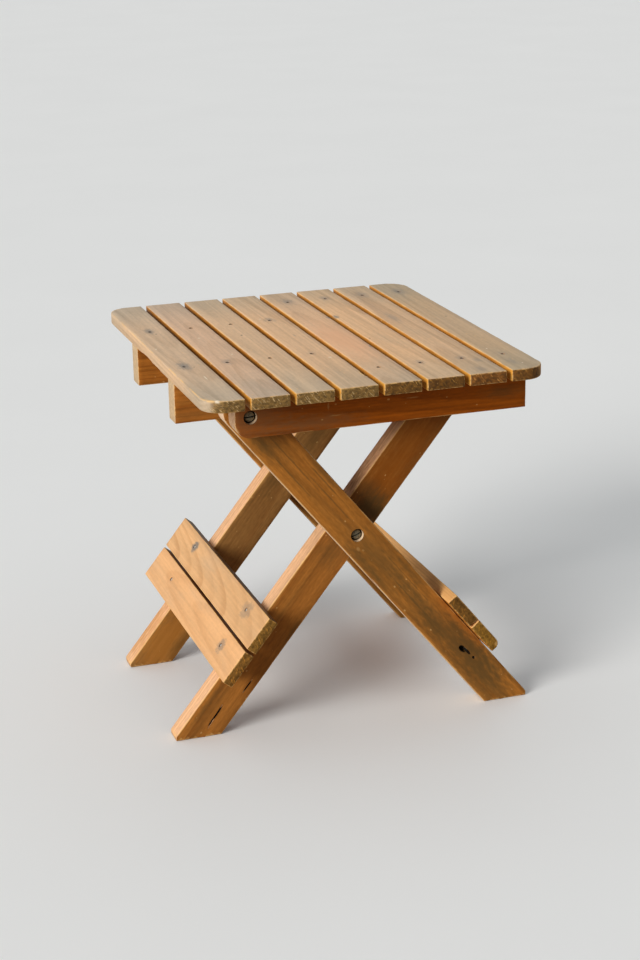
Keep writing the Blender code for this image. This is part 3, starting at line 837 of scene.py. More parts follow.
# The same for the varnish on their other faces
VARNISH_TINTS = {
    "slat_2": (0.72, 0.68, 0.60), "slat_3": (0.80, 0.76, 0.70), "slat_4": (0.88, 0.85, 0.80),
    "outer_leg_front": (0.88, 0.87, 0.92), "outer_leg_back": (0.76, 0.86, 1.10),
    "inner_leg_front": (0.93, 1.02, 1.28), "inner_leg_back": (0.73, 1.00, 1.90),
    "outer_rail_back": (0.90, 1.20, 1.60), "inner_rail_front": (1.10, 1.15, 1.30),
}

# The same for their sawn ends
END_TINTS = {
    "slat_5": (0.70, 0.54, 0.26), "slat_6": (0.66, 0.47, 0.18), "slat_7": (0.85, 0.55, 0.26),
    "slat_8": (0.72, 0.50, 0.22), "inner_rail_front": (0.66, 0.63, 0.56),
    "inner_rail_back": (0.66, 0.63, 0.56),
    "left_rung_lower": (1.40, 1.40, 1.40), "left_rung_upper": (1.40, 1.50, 1.50),
    "right_rung_lower": (1.50, 1.60, 1.20),
}

# Stains round the nails: strength, then half length and half width in millimetres; the other nails have none
MM = 0.001
STAINS = {
    "slat_1_nail_front": (0.80, 22, 9.5), "slat_1_nail_back": (0.70, 17, 8.5),
    "slat_2_nail_front": (0.55, 16, 7), "slat_4_nail_front": (0.35, 10, 6),
    "slat_4_nail_back": (0.60, 13, 8.5), "slat_5_nail_back": (0.60, 22, 11),
    "slat_6_nail_front": (0.50, 12, 6.5), "slat_6_nail_back": (0.60, 15, 8),
    "slat_7_nail_front": (0.45, 11, 8), "slat_7_nail_back": (0.45, 20, 11),
    "slat_8_nail_front": (0.30, 10, 6), "slat_8_nail_back": (0.60, 22, 11),
    "left_rung_upper_nail_back": (0.88, 9.5, 8.5), "left_rung_upper_nail_front": (0.42, 15, 12),
    "left_rung_lower_nail_front": (0.58, 9.5, 9.5), "left_rung_lower_nail_back": (0.12, 6, 5),
}

# Marks on the boards: kind, then place along and across, and half size along and across, in millimetres
MARKS = {
    "slat_1": [
        ("nick", 9, 11.9, 1.8, 1.2), ("nick", -110.8, -5, 9.5, 0.8), ("dot", 67.6, -3.1, 1.4, 1.2),
        ("dot", -70.6, -5, 1.2, 1.2), ("bare", -188, 14, 5, 8), ("nick", -190.5, 6.5, 3.5, 3)],
    "slat_2": [("nick", 35, 3.5, 1.4, 2), ("nick", -38, -9.6, 1.5, 1.4)],
    "slat_3": [("nick", -66.8, 2.5, 1.4, 2.2), ("dot", 30.3, 2.9, 2, 1.7)],
    "slat_4": [
        ("nick", -85, -9, 1.4, 2.5), ("nick", 87.8, 8.4, 1.4, 1.6), ("stain", 9.5, -3.8, 6, 1.5),
        ("bare", -152, -18, 13, 3)],
    "slat_5": [("blush", -25, 0, 115, 32), ("knot", 67, -18, 7, 4), ("knot", -60, -17.5, 6, 3)],
    "slat_6": [("knot", 67, 17.5, 9, 4), ("stain", 67, 17, 10, 5), ("dot", -30.6, 15.5, 1.4, 1)],
    "slat_7": [("stain", -178, 2, 13, 9), ("stain", -148, -8, 12, 6), ("stain", 40, 6, 30, 7)],
    "slat_8": [
        ("stain", -165, 6, 18, 7), ("nick", -112, 9.5, 1.4, 1.2), ("nick", -173, -1, 1.3, 1),
        ("dot", 25.6, -4.7, 1.2, 1.8)],
    # Outer front leg: the first two shade ovals, at its top under the seat, are painted shade
    "outer_leg_front": [
        ("shade", 145, 0, 45, 28), ("shade", 140, -8, 35, 8), ("shade", 76, 17, 45, 5),
        ("shade", -72, 15, 42, 6), ("shade", -86, 3, 55, 6), ("shade", -128, -6, 42, 10),
        ("shade", -200, 10, 60, 9), ("shade", -170, 8, 50, 10), ("shade", -30, -14, 50, 5),
        ("shade", -35, 0, 70, 30), ("shade", -150, 0, 100, 24), ("shade", -220, 0, 56, 32),
        ("shade", -190, 0, 90, 30), ("hole", -179.5, 0.6, 5.5, 3.4), ("line", 105, 2, 50, 1.2),
        ("line", 50, 5, 45, 1.1), ("line", 100, -8, 45, 1.2), ("line", 65, 12, 40, 1),
        ("line", -70, 8, 50, 1.1), ("line", -100, -3, 60, 1.2), ("hole", -186.5, 2.6, 5, 1.6),
        ("hole", -196.3, 2.9, 2.4, 1.6), ("scratch", -11.5, -8.6, 3, 2.2), ("scratch", -16.5, -6, 2.2, 1.6),
        ("scratch", -86, 1, 3, 0.9)],
    # Inner front leg: the shade ovals from 24 to 40 mm along are painted shadow, with dirt, where the outer front
    # leg crosses in front of it
    "inner_leg_front": [
        ("hole", -232.7, -1.9, 14, 1.2), ("hole", -189.2, -11.5, 8.5, 1), ("deep", 100, 0, 120, 32),
        ("deep", 50, 0, 60, 32), ("shade", -116, -17, 30, 4), ("shade", 30, -6, 20, 26),
        ("shade", 28, -14, 20, 20), ("shade", 25, -2, 18, 24), ("shade", 24, -10, 16, 20),
        ("shade", 26, -6, 24, 28), ("shade", 40, 5, 20, 30), ("shade", -28, 0, 30, 30),
        ("shade", -220, 12, 50, 5)],
    "inner_leg_back": [
        ("shade", 130, 4, 35, 16), ("shade", 45, -2, 45, 14), ("shade", -10, 8, 45, 12),
        ("fresh", -230, 0, 60, 34), ("shade", -225, -14, 30, 10)],
    "outer_rail_front": [
        ("dust", -135, 0, 70, 42), ("dust", -70, -12, 70, 12), ("scratch", -56, 3, 1.2, 6),
        ("scratch", -48, -7, 7, 1), ("scratch", 30, 2, 8, 1), ("shade", 125, -2, 35, 10),
        ("shade", 50, 12, 60, 5)],
}

# Colour and strength of each kind of mark, then how much of it is full and how ragged it is
MARK_LOOKS = {
    "nick": ("pale_nick", 0.85, 0.4, 0.7), "dot": ("hole_dark", 0.92, 0.4, 0.7),
    "hole": ("hole_dark", 1.0, 0.7, 0.4), "stain": ("iron_stain", 0.40, 0.0, 1.0),
    "knot": ("iron_stain", 0.75, 0.2, 0.8), "bare": ("bare_edge", 0.75, 0.4, 0.7),
    "scratch": ("bare_edge", 0.24, 0.2, 1.4), "shade": ("leg_streak_and_shade", 0.55, 0.0, 1.0),
    "line": ("leg_streak_and_shade", 0.55, 0.3, 1.2), "deep": ("deep_varnish", 0.65, 0.0, 0.8),
    "dust": ("dust", 0.70, 0.0, 1.0), "blush": ("blush", 0.60, 0.1, 0.6),
    "fresh": ("leg_varnish", 0.65, 0.3, 0.8),
}

# Round a nail: half size, core and raggedness of its dent, how dark that is and how much of a stain is full
# on slats and on rungs, and how far and how raggedly the stain drifts
DENT = (0.0028, 0.0026, 0.55, 0.3)
SLAT_DENT_DARK, RUNG_DENT_DARK = 0.80, 0.30
SLAT_STAIN_CORE, RUNG_STAIN_CORE = 0.0, 0.45
STAIN_DRIFT, STAIN_RAGGED = 0.002, 1.1

# Height at which marks on a slat fade out below its top, and the edge of a counterbore and the facing at which
# its raw-wood walls give way to painted shade on its floor
TOP_STEP = (0.0030, 0.0055)
BORE_CORE, BORE_WALL = 0.97, (0.6, 0.3)

# Sawn ends: slant of the torn fibres, how much blotches, rings and pits show, and their steps in the noise
SAW_SLANT = math.radians(40)
END_CONTRAST, END_RINGS, END_PITS = 0.48, 0.4, 0.45
BLOTCH_STEP, PIT_STEP, FIBRE_STEP = (0.32, 0.68), (0.40, 0.30), (0.60, 0.68)

# How squarely a surface faces a direction to count as worn, as a sawn end, or as a rung's upper edge
WORN_FACING, END_FACING, UPPER_FACING = (0.35, 0.70), (0.60, 0.88), (0.60, 0.90)

# Slats, in their own frames: heights below which painted shade, with dirt, darkens the gaps, places towards the
# front where a painted highlight makes them golden, and distances from the middle where the tops turn grey
GAP_SHADED, GAP_HIGHLIGHTED, TOP_GREYS = (0.0035, -0.0015), (-0.150, -0.188), (0.080, 0.190)

# How strongly the painted golden highlight in the gaps, the darker upper edges of the left rungs, grey patches
# and bare edges show, and the steps of the noise between plain wood and dark streaks or grey patches
GAP_HIGHLIGHT_SHARE, UPPER_EDGE_DARK, GREY_SHARE, BARE_SHARE = 0.45, 0.85, 0.32, 0.65
STREAK_STEP, PATCH_STEP = (0.50, 0.72), (0.48, 0.74)

# Gloss: step of the noise, roughness of varnish, how much rougher worn wood is, and reflections
GLOSS_STEP, VARNISH_ROUGH, WORN_ROUGHER = (0.3, 0.7), (0.34, 0.46), 0.16
SLAT_SHINE, BOARD_SHINE = 0.5, 0.12

# Relief of the wood: shares of the fibres and flecks, and its strength and depth
FIBRE_RELIEF, FLECK_RELIEF = 0.6, 0.4
WOOD_BUMP, WOOD_BUMP_DEPTH = 0.30, 0.0003


def look_of(node):
    """The finish of a board's kind."""
    return LOOKS[kind_of(node)]


def tinted(name, tints, node):
    """A finish colour with a board's own tint."""
    colour = getattr(bpy.context.scene.stool_finish, name)
    return [part * share for part, share in zip(colour, tints.get(node, (1, 1, 1)))]


def worn_directions(node):
    """The directions in which a board's varnish is worn or bleached."""
    if node in SLATS:
        return [UP, TO_THE_LEFT] if node == SLATS[0] else [UP]
    if node in RIGHT_RUNGS:
        return [off_the_leg(-1), up_the_leg(-1)]
    return [off_the_leg(1)] if LEANS.get(kind_of(node)) == 1 else [TO_THE_LEFT]


def nail_spots(node):
    """The nails of a slat or rung and where they sit in its own frame."""
    nails = [nail for nail in NAILS if nail.split("_nail_")[0] == node]
    return [(nail, PLACES[node].inverted() @ nail_place(nail).translation) for nail in nails]


def counterbores(node):
    """Where the heads of pivot screws sit in a board's own frame."""
    pivots = [pivot for pivot, timber in HEAD_TIMBERS.items() if timber == kind_of(node)]
    screws = [f"{pivot}_screw_{side_of(node)}" for pivot in pivots]
    return [PLACES[node].inverted() @ screw_place(screw).translation for screw in screws]


def add_spot(tree, board, along, across, length, width, core, ragged, seed):
    """Mask of one oval mark on a board."""
    return place_group(tree, "Spot", {"Vector": board, "Along": along, "Across": across, "Length": length,
                                      "Width": width, "Core": core, "Ragged": ragged, "Seed": seed})["Mask"]


def add_nail_marks(tree, board, colour, node, seed):
    """Lay the stain and the dent of every nail over a board's colour."""
    finish = bpy.context.scene.stool_finish
    dark = SLAT_DENT_DARK if node in SLATS else RUNG_DENT_DARK
    full = SLAT_STAIN_CORE if node in SLATS else RUNG_STAIN_CORE
    for count, (nail, place) in enumerate(nail_spots(node)):
        if nail in STAINS:
            strength, length, width = STAINS[nail]
            halo = add_spot(tree, board, place.x + STAIN_DRIFT, place.y, length * MM, width * MM, full,
                            STAIN_RAGGED, seed + 3 * count)
            colour = mix(tree, times(tree, halo, strength), colour, finish.iron_stain)
        dent = add_spot(tree, board, place.x, place.y, *DENT, seed)
        colour = mix(tree, times(tree, dent, dark), colour, finish.hole_dark)
    return colour


def add_marks(tree, board, normal, colour, node, seed):
    """Lay nail stains, small marks, and counterbores with raw-wood walls and painted shade on their floors over a
    board's colour.
    """
    finish = bpy.context.scene.stool_finish
    hardware = bpy.context.scene.stool_hardware
    colour = add_nail_marks(tree, board, colour, node, seed)
    for kind, *place_and_size in MARKS.get(node, []):
        name, strength, core, ragged = MARK_LOOKS[kind]
        spot = add_spot(tree, board, *(part * MM for part in place_and_size), core, ragged, seed)
        if node in SLATS:
            strength = ease(tree, parts(tree, board)[2], *TOP_STEP, 0.0, strength)
        colour = mix(tree, times(tree, spot, strength), colour, getattr(finish, name))
    # Counterbores: raw wood on their walls, painted shade on their floors round the screw heads
    for place in counterbores(node):
        radius = hardware.counterbore + hardware.fit
        spot = add_spot(tree, board, place.x, place.y, radius, radius, BORE_CORE, 0.0, seed)
        wall = ease(tree, calc(tree, "ABSOLUTE", facing(tree, normal, TO_THE_FRONT)), *BORE_WALL)
        colour = mix(tree, spot, colour, mix(tree, wall, finish.hole_dark, finish.raw_wood))
    return colour


def varnished_wood(tree, board, normal, grain, rings, node):
    """Colour of a board's varnish: streaks, painted shade with dirt deep in the seat's gaps, a painted highlight
    at their front, and darker upper edges on the left rungs.
    """
    finish = bpy.context.scene.stool_finish
    look = look_of(node)
    colour = mix(tree, rings, *(tinted(look[name], VARNISH_TINTS, node) for name in ("varnish", "grain")))
    if look["streaks"]:
        streaks = ease(tree, grain["Bands"], *STREAK_STEP, 0.0, look["streaks"])
        colour = mix(tree, streaks, colour, finish.leg_streak_and_shade)
    if node in SLATS:
        place = parts(tree, board)
        # Painted shade, with dirt, deep in the gaps between the slats
        colour = mix(tree, ease(tree, place[2], *GAP_SHADED), colour, finish.gap_shade_and_dirt)
        # Painted highlight: the gap walls turn golden towards the front
        colour = mix(tree, ease(tree, place[0], *GAP_HIGHLIGHTED, 0.0, GAP_HIGHLIGHT_SHARE), colour, finish.gap_highlight)
    # The left rungs are darker on their upper edges
    if node in LEFT_RUNGS:
        upper = ease(tree, facing(tree, normal, up_the_leg(1)), *UPPER_FACING, 0.0, UPPER_EDGE_DARK)
        colour = mix(tree, upper, colour, finish.rung_upper_dark)
    return colour


def worn_wood(tree, board, rings, patch, node):
    """Colour of a board's worn faces: grey patches on slats and rungs, and greyed ends of the slats."""
    finish = bpy.context.scene.stool_finish
    look = look_of(node)
    colour = mix(tree, rings, *(tinted(look[name], WORN_TINTS, node) for name in ("worn", "worn_grain")))
    if node in SLATS + RUNGS:
        colour = mix(tree, ease(tree, patch, *PATCH_STEP, 0.0, GREY_SHARE), colour, finish.weathered)
    if node in SLATS:
        from_middle = calc(tree, "ABSOLUTE", parts(tree, board)[0])
        colour = mix(tree, ease(tree, from_middle, *TOP_GREYS), colour, finish.greyed, "MULTIPLY")
    return colour


def sawn_ends(tree, board, grain, node, seed):
    """Colour of a board's sawn ends: dirty, with pale torn fibres that slant across."""
    finish = bpy.context.scene.stool_finish
    look = look_of(node)
    dirt = look["dirt"]
    slant = {"Vector": board, "Angle": SAW_SLANT}
    slanted = add_node(tree, "VectorRotate", slant, rotation_type="X_AXIS").outputs[0]
    torn = noise(tree, slanted, TORN_FIBRES, seed, 2.0, 0.6)[0]
    blotch = noise(tree, board, END_BLOTCHES, seed, 3.0, 0.7)[0]
    tone = ease(tree, blotch, *BLOTCH_STEP, 1 - END_CONTRAST * dirt, 1 + END_CONTRAST * dirt)
    colour = mix(tree, 1.0, tinted(look["end"], END_TINTS, node), tone, "MULTIPLY")
    colour = mix(tree, times(tree, grain["Rings"], END_RINGS * dirt), colour, finish.rung_end)
    colour = mix(tree, ease(tree, torn, *PIT_STEP, 0.0, END_PITS * dirt), colour, finish.hole_dark)
    fibres = tinted(look["fibres"], END_TINTS, node)
    return mix(tree, ease(tree, torn, *FIBRE_STEP, 0.0, look["torn"]), colour, fibres)


# How the boards differ in the way they were sawn: reach and pace of a sine of their seed
SAWN_SIDE, SAWN_TILT, SAWN_DIVE, SAWN_RINGS = (0.014, 2.1), (0.02, 3.3), (0.03, 5.1), (0.25, 1.3)
PITH_NEAR, PITH_SPREAD = -0.030, -0.020
BOARD_RINGS, LEG_RINGS, ARCHED_RINGS = 0.0032, 0.0045, 0.0065
WOBBLE, ARCHED_WOBBLE, ARCHED_DIVE = 0.007, 0.016, 0.11
FIRST_SEED, SEED_STEP = 0.3, 1.7


def vary(seed, reach, pace):
    """A sine of a board's seed."""
    return reach * math.sin(pace * seed)


def sawn_from(node, seed):
    """How a board was sawn from its log, as inputs of the grain: each a little different, one with arches."""
    arched = node == ARCHED_RUNG
    ring_width = ARCHED_RINGS if arched else LEG_RINGS if node in LEGS else BOARD_RINGS
    return {"Pith Side": vary(seed, *SAWN_SIDE), "Pith Depth": PITH_NEAR + PITH_SPREAD * math.sin(seed) ** 2,
            "Pith Tilt": vary(seed, *SAWN_TILT),
            "Pith Dive": ARCHED_DIVE if arched else vary(seed, *SAWN_DIVE),
            "Ring Width": ring_width * (1 + vary(seed, *SAWN_RINGS)),
            "Wobble": ARCHED_WOBBLE if arched else WOBBLE, "Seed": seed}


def new_material(name):
    """A material with its node tree, its shader's inputs and its texture coordinates."""
    material = bpy.data.materials.new(name)
    material.use_nodes = True
    tree = material.node_tree
    return material, tree, tree.nodes["Principled BSDF"].inputs, add_node(tree, "TexCoord").outputs


def board_material(node):
    """Procedural wood for one board: grain, worn faces, dirty ends, stains, marks, specks and bare edges."""
    finish = bpy.context.scene.stool_finish
    look = look_of(node)
    seed = SEED_STEP * sorted(PLACES).index(node) + FIRST_SEED
    material, tree, shader, coordinates = new_material("worn_" + node)
    normal = coordinates["Normal"]
    back = PLACES[node].inverted()
    mapping = {"Vector": coordinates["Object"], "Location": back.translation, "Rotation": back.to_euler()}
    board = add_node(tree, "Mapping", mapping).outputs[0]
    grain = place_group(tree, "Sawn Grain", {"Vector": board, **sawn_from(node, seed)})
    rings = times(tree, grain["Rings"], look["rings"])
    patch = noise(tree, board, PATCHES, seed, 3.0, 0.6)[0]

    worn = 0.0
    for direction in worn_directions(node):
        worn = calc(tree, "MAXIMUM", ease(tree, facing(tree, normal, direction), *WORN_FACING), worn)
    colour = mix(tree, worn, varnished_wood(tree, board, normal, grain, rings, node),
                 worn_wood(tree, board, rings, patch, node))
    tone = 1.0 - look["bands"] - look["fibre"] - look["flecks"]
    for label in GRAIN_LAYERS:
        tone = calc(tree, "MULTIPLY_ADD", grain[label], 2 * look[label.lower()], tone)
    colour = mix(tree, 1.0, colour, tone, "MULTIPLY")

    along = PLACES[node].to_3x3() @ Vector((1, 0, 0))
    end = ease(tree, calc(tree, "ABSOLUTE", facing(tree, normal, along)), *END_FACING)
    colour = mix(tree, end, colour, sawn_ends(tree, board, grain, node, seed))
    colour = add_marks(tree, board, normal, colour, node, seed)
    specks = place_group(tree, "Specks", {"Vector": board, "Seed": seed})["Mask"]
    colour = mix(tree, times(tree, specks, look["specks"]), colour, finish.bare_edge)
    arris = add_node(tree, "Attribute", attribute_name="arris").outputs["Fac"]
    wear = {"Arris": arris, "Vector": board, "Amount": look["bare"], "Seed": seed}
    edge = place_group(tree, "Worn Edge", wear)["Mask"]
    colour = mix(tree, times(tree, edge, BARE_SHARE), colour, finish.bare_edge)
    tree.links.new(colour, shader["Base Color"])

    shader["Specular IOR Level"].default_value = SLAT_SHINE if node in SLATS else BOARD_SHINE
    rough = ease(tree, patch, *GLOSS_STEP, *VARNISH_ROUGH)
    rough = calc(tree, "MULTIPLY_ADD", calc(tree, "MAXIMUM", worn, end), WORN_ROUGHER, rough)
    tree.links.new(rough, shader["Roughness"])
    height = times(tree, grain["Flecks"], FLECK_RELIEF)
    height = calc(tree, "MULTIPLY_ADD", grain["Fibre"], FIBRE_RELIEF, height)
    bump = add_node(tree, "Bump", {"Strength": WOOD_BUMP, "Distance": WOOD_BUMP_DEPTH, "Height": height})
    tree.links.new(bump.outputs[0], shader["Normal"])
    return material


# Old steel: scale and step of the rust, how much of the shine and how rough it is there, and its relief
RUST_SCALE, RUST_STEP = (700.0, 700.0, 700.0), (0.56, 0.72)
RUST_SHINE, RUST_ROUGH = 0.5, 0.85
RUST_BUMP, RUST_BUMP_DEPTH = 0.4, 0.0001


def metal_material(name, colour, rough, shine):
    """Old steel with patches of rust, and with painted shade and dirt where a piece has the attribute for it: the
    sunk parts of the screws.
    """
    finish = bpy.context.scene.stool_finish
    material, tree, shader, coordinates = new_material(name)
    patch = noise(tree, coordinates["Object"], RUST_SCALE, 0.0, 3.0, 0.6)[0]
    mask = ease(tree, patch, *RUST_STEP)
    # Painted shade, with dirt, on a screw's sunk parts, read from its attribute
    grime = add_node(tree, "Attribute", attribute_name="grime").outputs["Fac"]
    dirty = mix(tree, grime, mix(tree, mask, colour, finish.rust), finish.hole_dark)
    tree.links.new(dirty, shader["Base Color"])
    tree.links.new(ease(tree, mask, 0.0, 1.0, shine, RUST_SHINE * shine), shader["Metallic"])
    tree.links.new(ease(tree, mask, 0.0, 1.0, rough, RUST_ROUGH), shader["Roughness"])
    bump = add_node(tree, "Bump", {"Strength": RUST_BUMP, "Distance": RUST_BUMP_DEPTH, "Height": patch})
    tree.links.new(bump.outputs[0], shader["Normal"])
    return material


class STOOL_OT_wood_groups(bpy.types.Operator):
    """Build the shader groups that every board's finish shares"""

    bl_idname = "stool.wood_groups"
    bl_label = "Wood Groups"

    def execute(self, context):
        grain_group()
        spot_group()
        edge_group()
        speck_group()
        return {"FINISHED"}


class STOOL_OT_slats(bpy.types.Operator):
    """Model the eight worn slats of the seat"""

    bl_idname = "stool.slats"
    bl_label = "Slats"

    def execute(self, context):
        timber = context.scene.stool_timber
        width, length, thickness = extent(SLATS[0])
        plain = saw_blank("slat_blank", length, width, thickness)
        outermost = saw_blank("end_slat_blank", length, width, thickness)
        round_corners(outermost, timber.seat_round, lambda place: place.y > 0)
        for blank in (plain, outermost):
            finish_blank(blank, timber, -length / 2, length / 2, width, thickness)
        for node in SLATS:
            blank = outermost if node in (SLATS[0], SLATS[-1]) else plain
            finish_board(node, blank, math.pi if node == SLATS[-1] else 0)
        discard(plain, outermost)
        return {"FINISHED"}


class STOOL_OT_rails(bpy.types.Operator):
    """Model the four rails under the slats"""

    bl_idname = "stool.rails"
    bl_label = "Rails"

    def execute(self, context):
        timber = context.scene.stool_timber
        length, thickness, height = extent(RAILS[0])
        blank = saw_blank("rail_blank", length, height, thickness)
        round_corners(blank, timber.rail_round, lambda place: place.x < 0)
        finish_blank(blank, timber, -length / 2, length / 2, height, thickness)
        for node in RAILS:
            finish_board(node, blank)
        discard(blank)
        return {"FINISHED"}


class STOOL_OT_legs(bpy.types.Operator):
    """Model the four crossed legs"""

    bl_idname = "stool.legs"
    bl_label = "Legs"

    def execute(self, context):
        timber = context.scene.stool_timber
        half = timber.leg_width / 2
        thickness = extent(LEGS[0]).y
        rise, run = math.sin(LEG_ANGLE), math.cos(LEG_ANGLE)
        top = (RIGHT_PIVOT - CROSS).length + half
        toe = -(CROSS.z + half * run) / rise
        blank = saw_blank("leg_blank", top - toe, timber.leg_width, thickness)
        blank.location.x = (top + toe) / 2
        rest_alone(blank)
        bpy.ops.object.transform_apply(location=True, rotation=False, scale=False)
        round_corners(blank, half, lambda place: place.x > 0, LEG_TOP_STEPS)
        saw_off(blank, (-CROSS.z / rise, 0, 0), (-rise, -run, 0))
        saw_off(blank, (toe + timber.toe_blunt / rise, half, 0), (-run, rise, 0))
        finish_blank(blank, timber, toe, top, timber.leg_width, thickness)
        for node in LEGS:
            finish_board(node, blank)
        discard(blank)
        return {"FINISHED"}


class STOOL_OT_rungs(bpy.types.Operator):
    """Model the four rungs across the legs"""

    bl_idname = "stool.rungs"
    bl_label = "Rungs"

    def execute(self, context):
        timber = context.scene.stool_timber
        length = extent(RUNGS[0]).y
        plain = saw_blank("rung_blank", length, timber.rung_width, timber.rung_thickness)
        rounded = saw_blank("round_rung_blank", length, timber.rung_width, timber.rung_thickness)
        round_corners(rounded, timber.rung_round, lambda place: place.y < 0 < place.z, axis=0)
        for blank in (plain, rounded):
            finish_blank(blank, timber, -length / 2, length / 2, timber.rung_width, timber.rung_thickness)
        for node in RUNGS:
            finish_board(node, rounded if node == ROUND_RUNG else plain)
        discard(plain, rounded)
        return {"FINISHED"}


# Shape of a nail: its head's hollow, flat, edge and underside in radii of the head, and its tip in radii of
# the shank
HEAD_HOLLOW, HEAD_FLAT, HEAD_EDGE, HEAD_UNDERSIDE = 0.45, 0.80, 0.6, 0.9
NAIL_TIP = 0.1


class STOOL_OT_nails(bpy.types.Operator):
    """Model one nail and drive a copy of it at every nail's place"""

    bl_idname = "stool.nails"
    bl_label = "Nails"

    def execute(self, context):
        hardware = context.scene.stool_hardware
        finish = context.scene.stool_finish
        head, shank = hardware.nail_head, hardware.nail_shank
        top = -hardware.nail_sink
        tip = top - hardware.nail_length
        profile = [
            (HEAD_HOLLOW * head, top - hardware.nail_hollow),
            (HEAD_FLAT * head, top),
            (head, top - hardware.nail_chamfer),
            (head, top - HEAD_EDGE * head),
            (shank, top - HEAD_UNDERSIDE * head),
            (shank, tip + hardware.point),
            (NAIL_TIP * shank, tip),
        ]
        model = turn_piece("nail_model", profile, NAIL_SIDES)
        rusted = metal_material("rusted_nail", finish.seat_nail, rough=0.5, shine=0.8)
        rubbed = metal_material("rubbed_nail", finish.rung_nail, rough=0.45, shine=0.4)
        for node in NAILS:
            piece = place_copy(model, "driven_" + node, nail_place(node))
            piece.data.materials.append(rusted if node.startswith("slat") else rubbed)
            dress(piece, node)
        discard(model)
        return {"FINISHED"}


# Pivot screws: rings of the head's dome, length of the slot's cutter in radii of the head, height over the
# slot's floor below which the screw gets painted shade with dirt, and how far the slots are turned
DOME_RINGS = [math.radians(angle) for angle in (10, 25, 40, 55, 70, 82, 90)]
SLOT_REACH = 4
SUNK_SHADE_HEIGHT = 0.00003
SLOT_TURNS = {"left_pivot": math.radians(4), "cross_pivot": math.radians(20),
              "right_pivot": math.radians(-35)}


class STOOL_OT_screws(bpy.types.Operator):
    """Model one slotted pivot screw and put a copy of it in every pivot"""

    bl_idname = "stool.screws"
    bl_label = "Pivot Screws"

    def execute(self, context):
        hardware = context.scene.stool_hardware
        head, shank, chamfer = hardware.screw_head, hardware.screw_shank, hardware.screw_chamfer
        seat = -hardware.counterbore_depth + hardware.fit
        edge = seat + hardware.screw_edge
        top = seat + hardware.screw_dome
        tip = top - extent(SCREWS[0]).y
        profile = [(head * math.sin(turn), edge + (top - edge) * math.cos(turn)) for turn in DOME_RINGS]
        profile += [(head, seat + chamfer), (head - chamfer, seat), (shank, seat),
                    (shank, tip + hardware.point), (chamfer, tip)]
        model = turn_piece("screw_model", profile, SCREW_SIDES)
        slot = saw_blank("slot_cutter", SLOT_REACH * head, hardware.slot_width, 2 * hardware.slot_depth)
        slot.location.z = top
        bpy.ops.object.transform_apply(location=True, rotation=False, scale=False)
        take_out(model, [slot])
        # Painted shade, with dirt, in the slot and on the head below the slot's floor, deep in the counterbore
        shaded_below = top - hardware.slot_depth + SUNK_SHADE_HEIGHT
        write_attribute(model, "grime", [float(vertex.co.z < shaded_below) for vertex in model.data.vertices])
        shade_rounds(model)
        steel = context.scene.stool_finish.screw_steel
        model.data.materials.append(metal_material("tarnished_screw", steel, rough=0.42, shine=0.5))
        for node in SCREWS:
            spin = Matrix.Rotation(SLOT_TURNS[node.split("_screw")[0]], 4, "Z")
            dress(place_copy(model, "turned_" + node, screw_place(node) @ spin), node)
        discard(model)
        return {"FINISHED"}


class STOOL_OT_washers(bpy.types.Operator):
    """Model one washer and put a copy of it between the timbers of every pivot"""

    bl_idname = "stool.washers"
    bl_label = "Washers"

    def execute(self, context):
        hardware = context.scene.stool_hardware
        radius = extent(WASHERS[0]).x / 2
        half = extent(WASHERS[0]).y / 2
        round_off = half / 3
        profile = [(radius - round_off, half), (radius, half - round_off), (radius, round_off - half),
                   (radius - round_off, -half)]
        model = turn_piece("washer_model", profile, SCREW_SIDES)
        hole = hardware.screw_shank + hardware.fit
        bore = [(hole, 2 * half), (hole, -2 * half)]
        take_out(model, [turn_piece("washer_bore", bore, SCREW_SIDES)])
        shade_rounds(model)
        steel = context.scene.stool_finish.washer_steel
        model.data.materials.append(metal_material("plain_washer", steel, rough=0.35, shine=0.9))
        for node in WASHERS:
            dress(place_copy(model, "pressed_" + node, stand(middle(node), UP.cross(TO_THE_FRONT), UP)), node)
        discard(model)
        return {"FINISHED"}


# Floor: its size, roughness and the scale of its clouds
FLOOR_SIZE, FLOOR_ROUGH, FLOOR_CLOUDS = 60, 0.65, (3.0, 3.0, 3.0)

# Direction from the stool to the window, and where the wall and the ceiling begin and end in the sky
WINDOW_SIDE = (-1.60, -0.85, 0.72)
WALL_STEP, CEILING_STEP = (-0.3, 0.5), (0.2, 0.9)

# Camera of the photograph, fitted to the stool's edges
CAMERA_PLACE = (-0.6053, -1.7925, 0.8604)
CAMERA_YAW = math.radians(18.776)
CAMERA_PITCH = math.radians(-18.658)
CAMERA_ROLL = math.radians(0.878)
SENSOR_WIDTH = 36


def floor_material(stage):
    """Plain, faintly cloudy floor, paler as the camera sees it than in the light it throws back."""
    material, tree, shader, coordinates = new_material("pale_floor")
    cloud = noise(tree, coordinates["Object"], FLOOR_CLOUDS, 0.0, 3.0)[0]
    seen = add_node(tree, "LightPath").outputs["Is Camera Ray"]
    colour = mix(tree, seen, stage.floor_bounce, mix(tree, cloud, stage.floor_colour, stage.floor_cloud))
    tree.links.new(colour, shader["Base Color"])
    shader["Roughness"].default_value = FLOOR_ROUGH
    return material


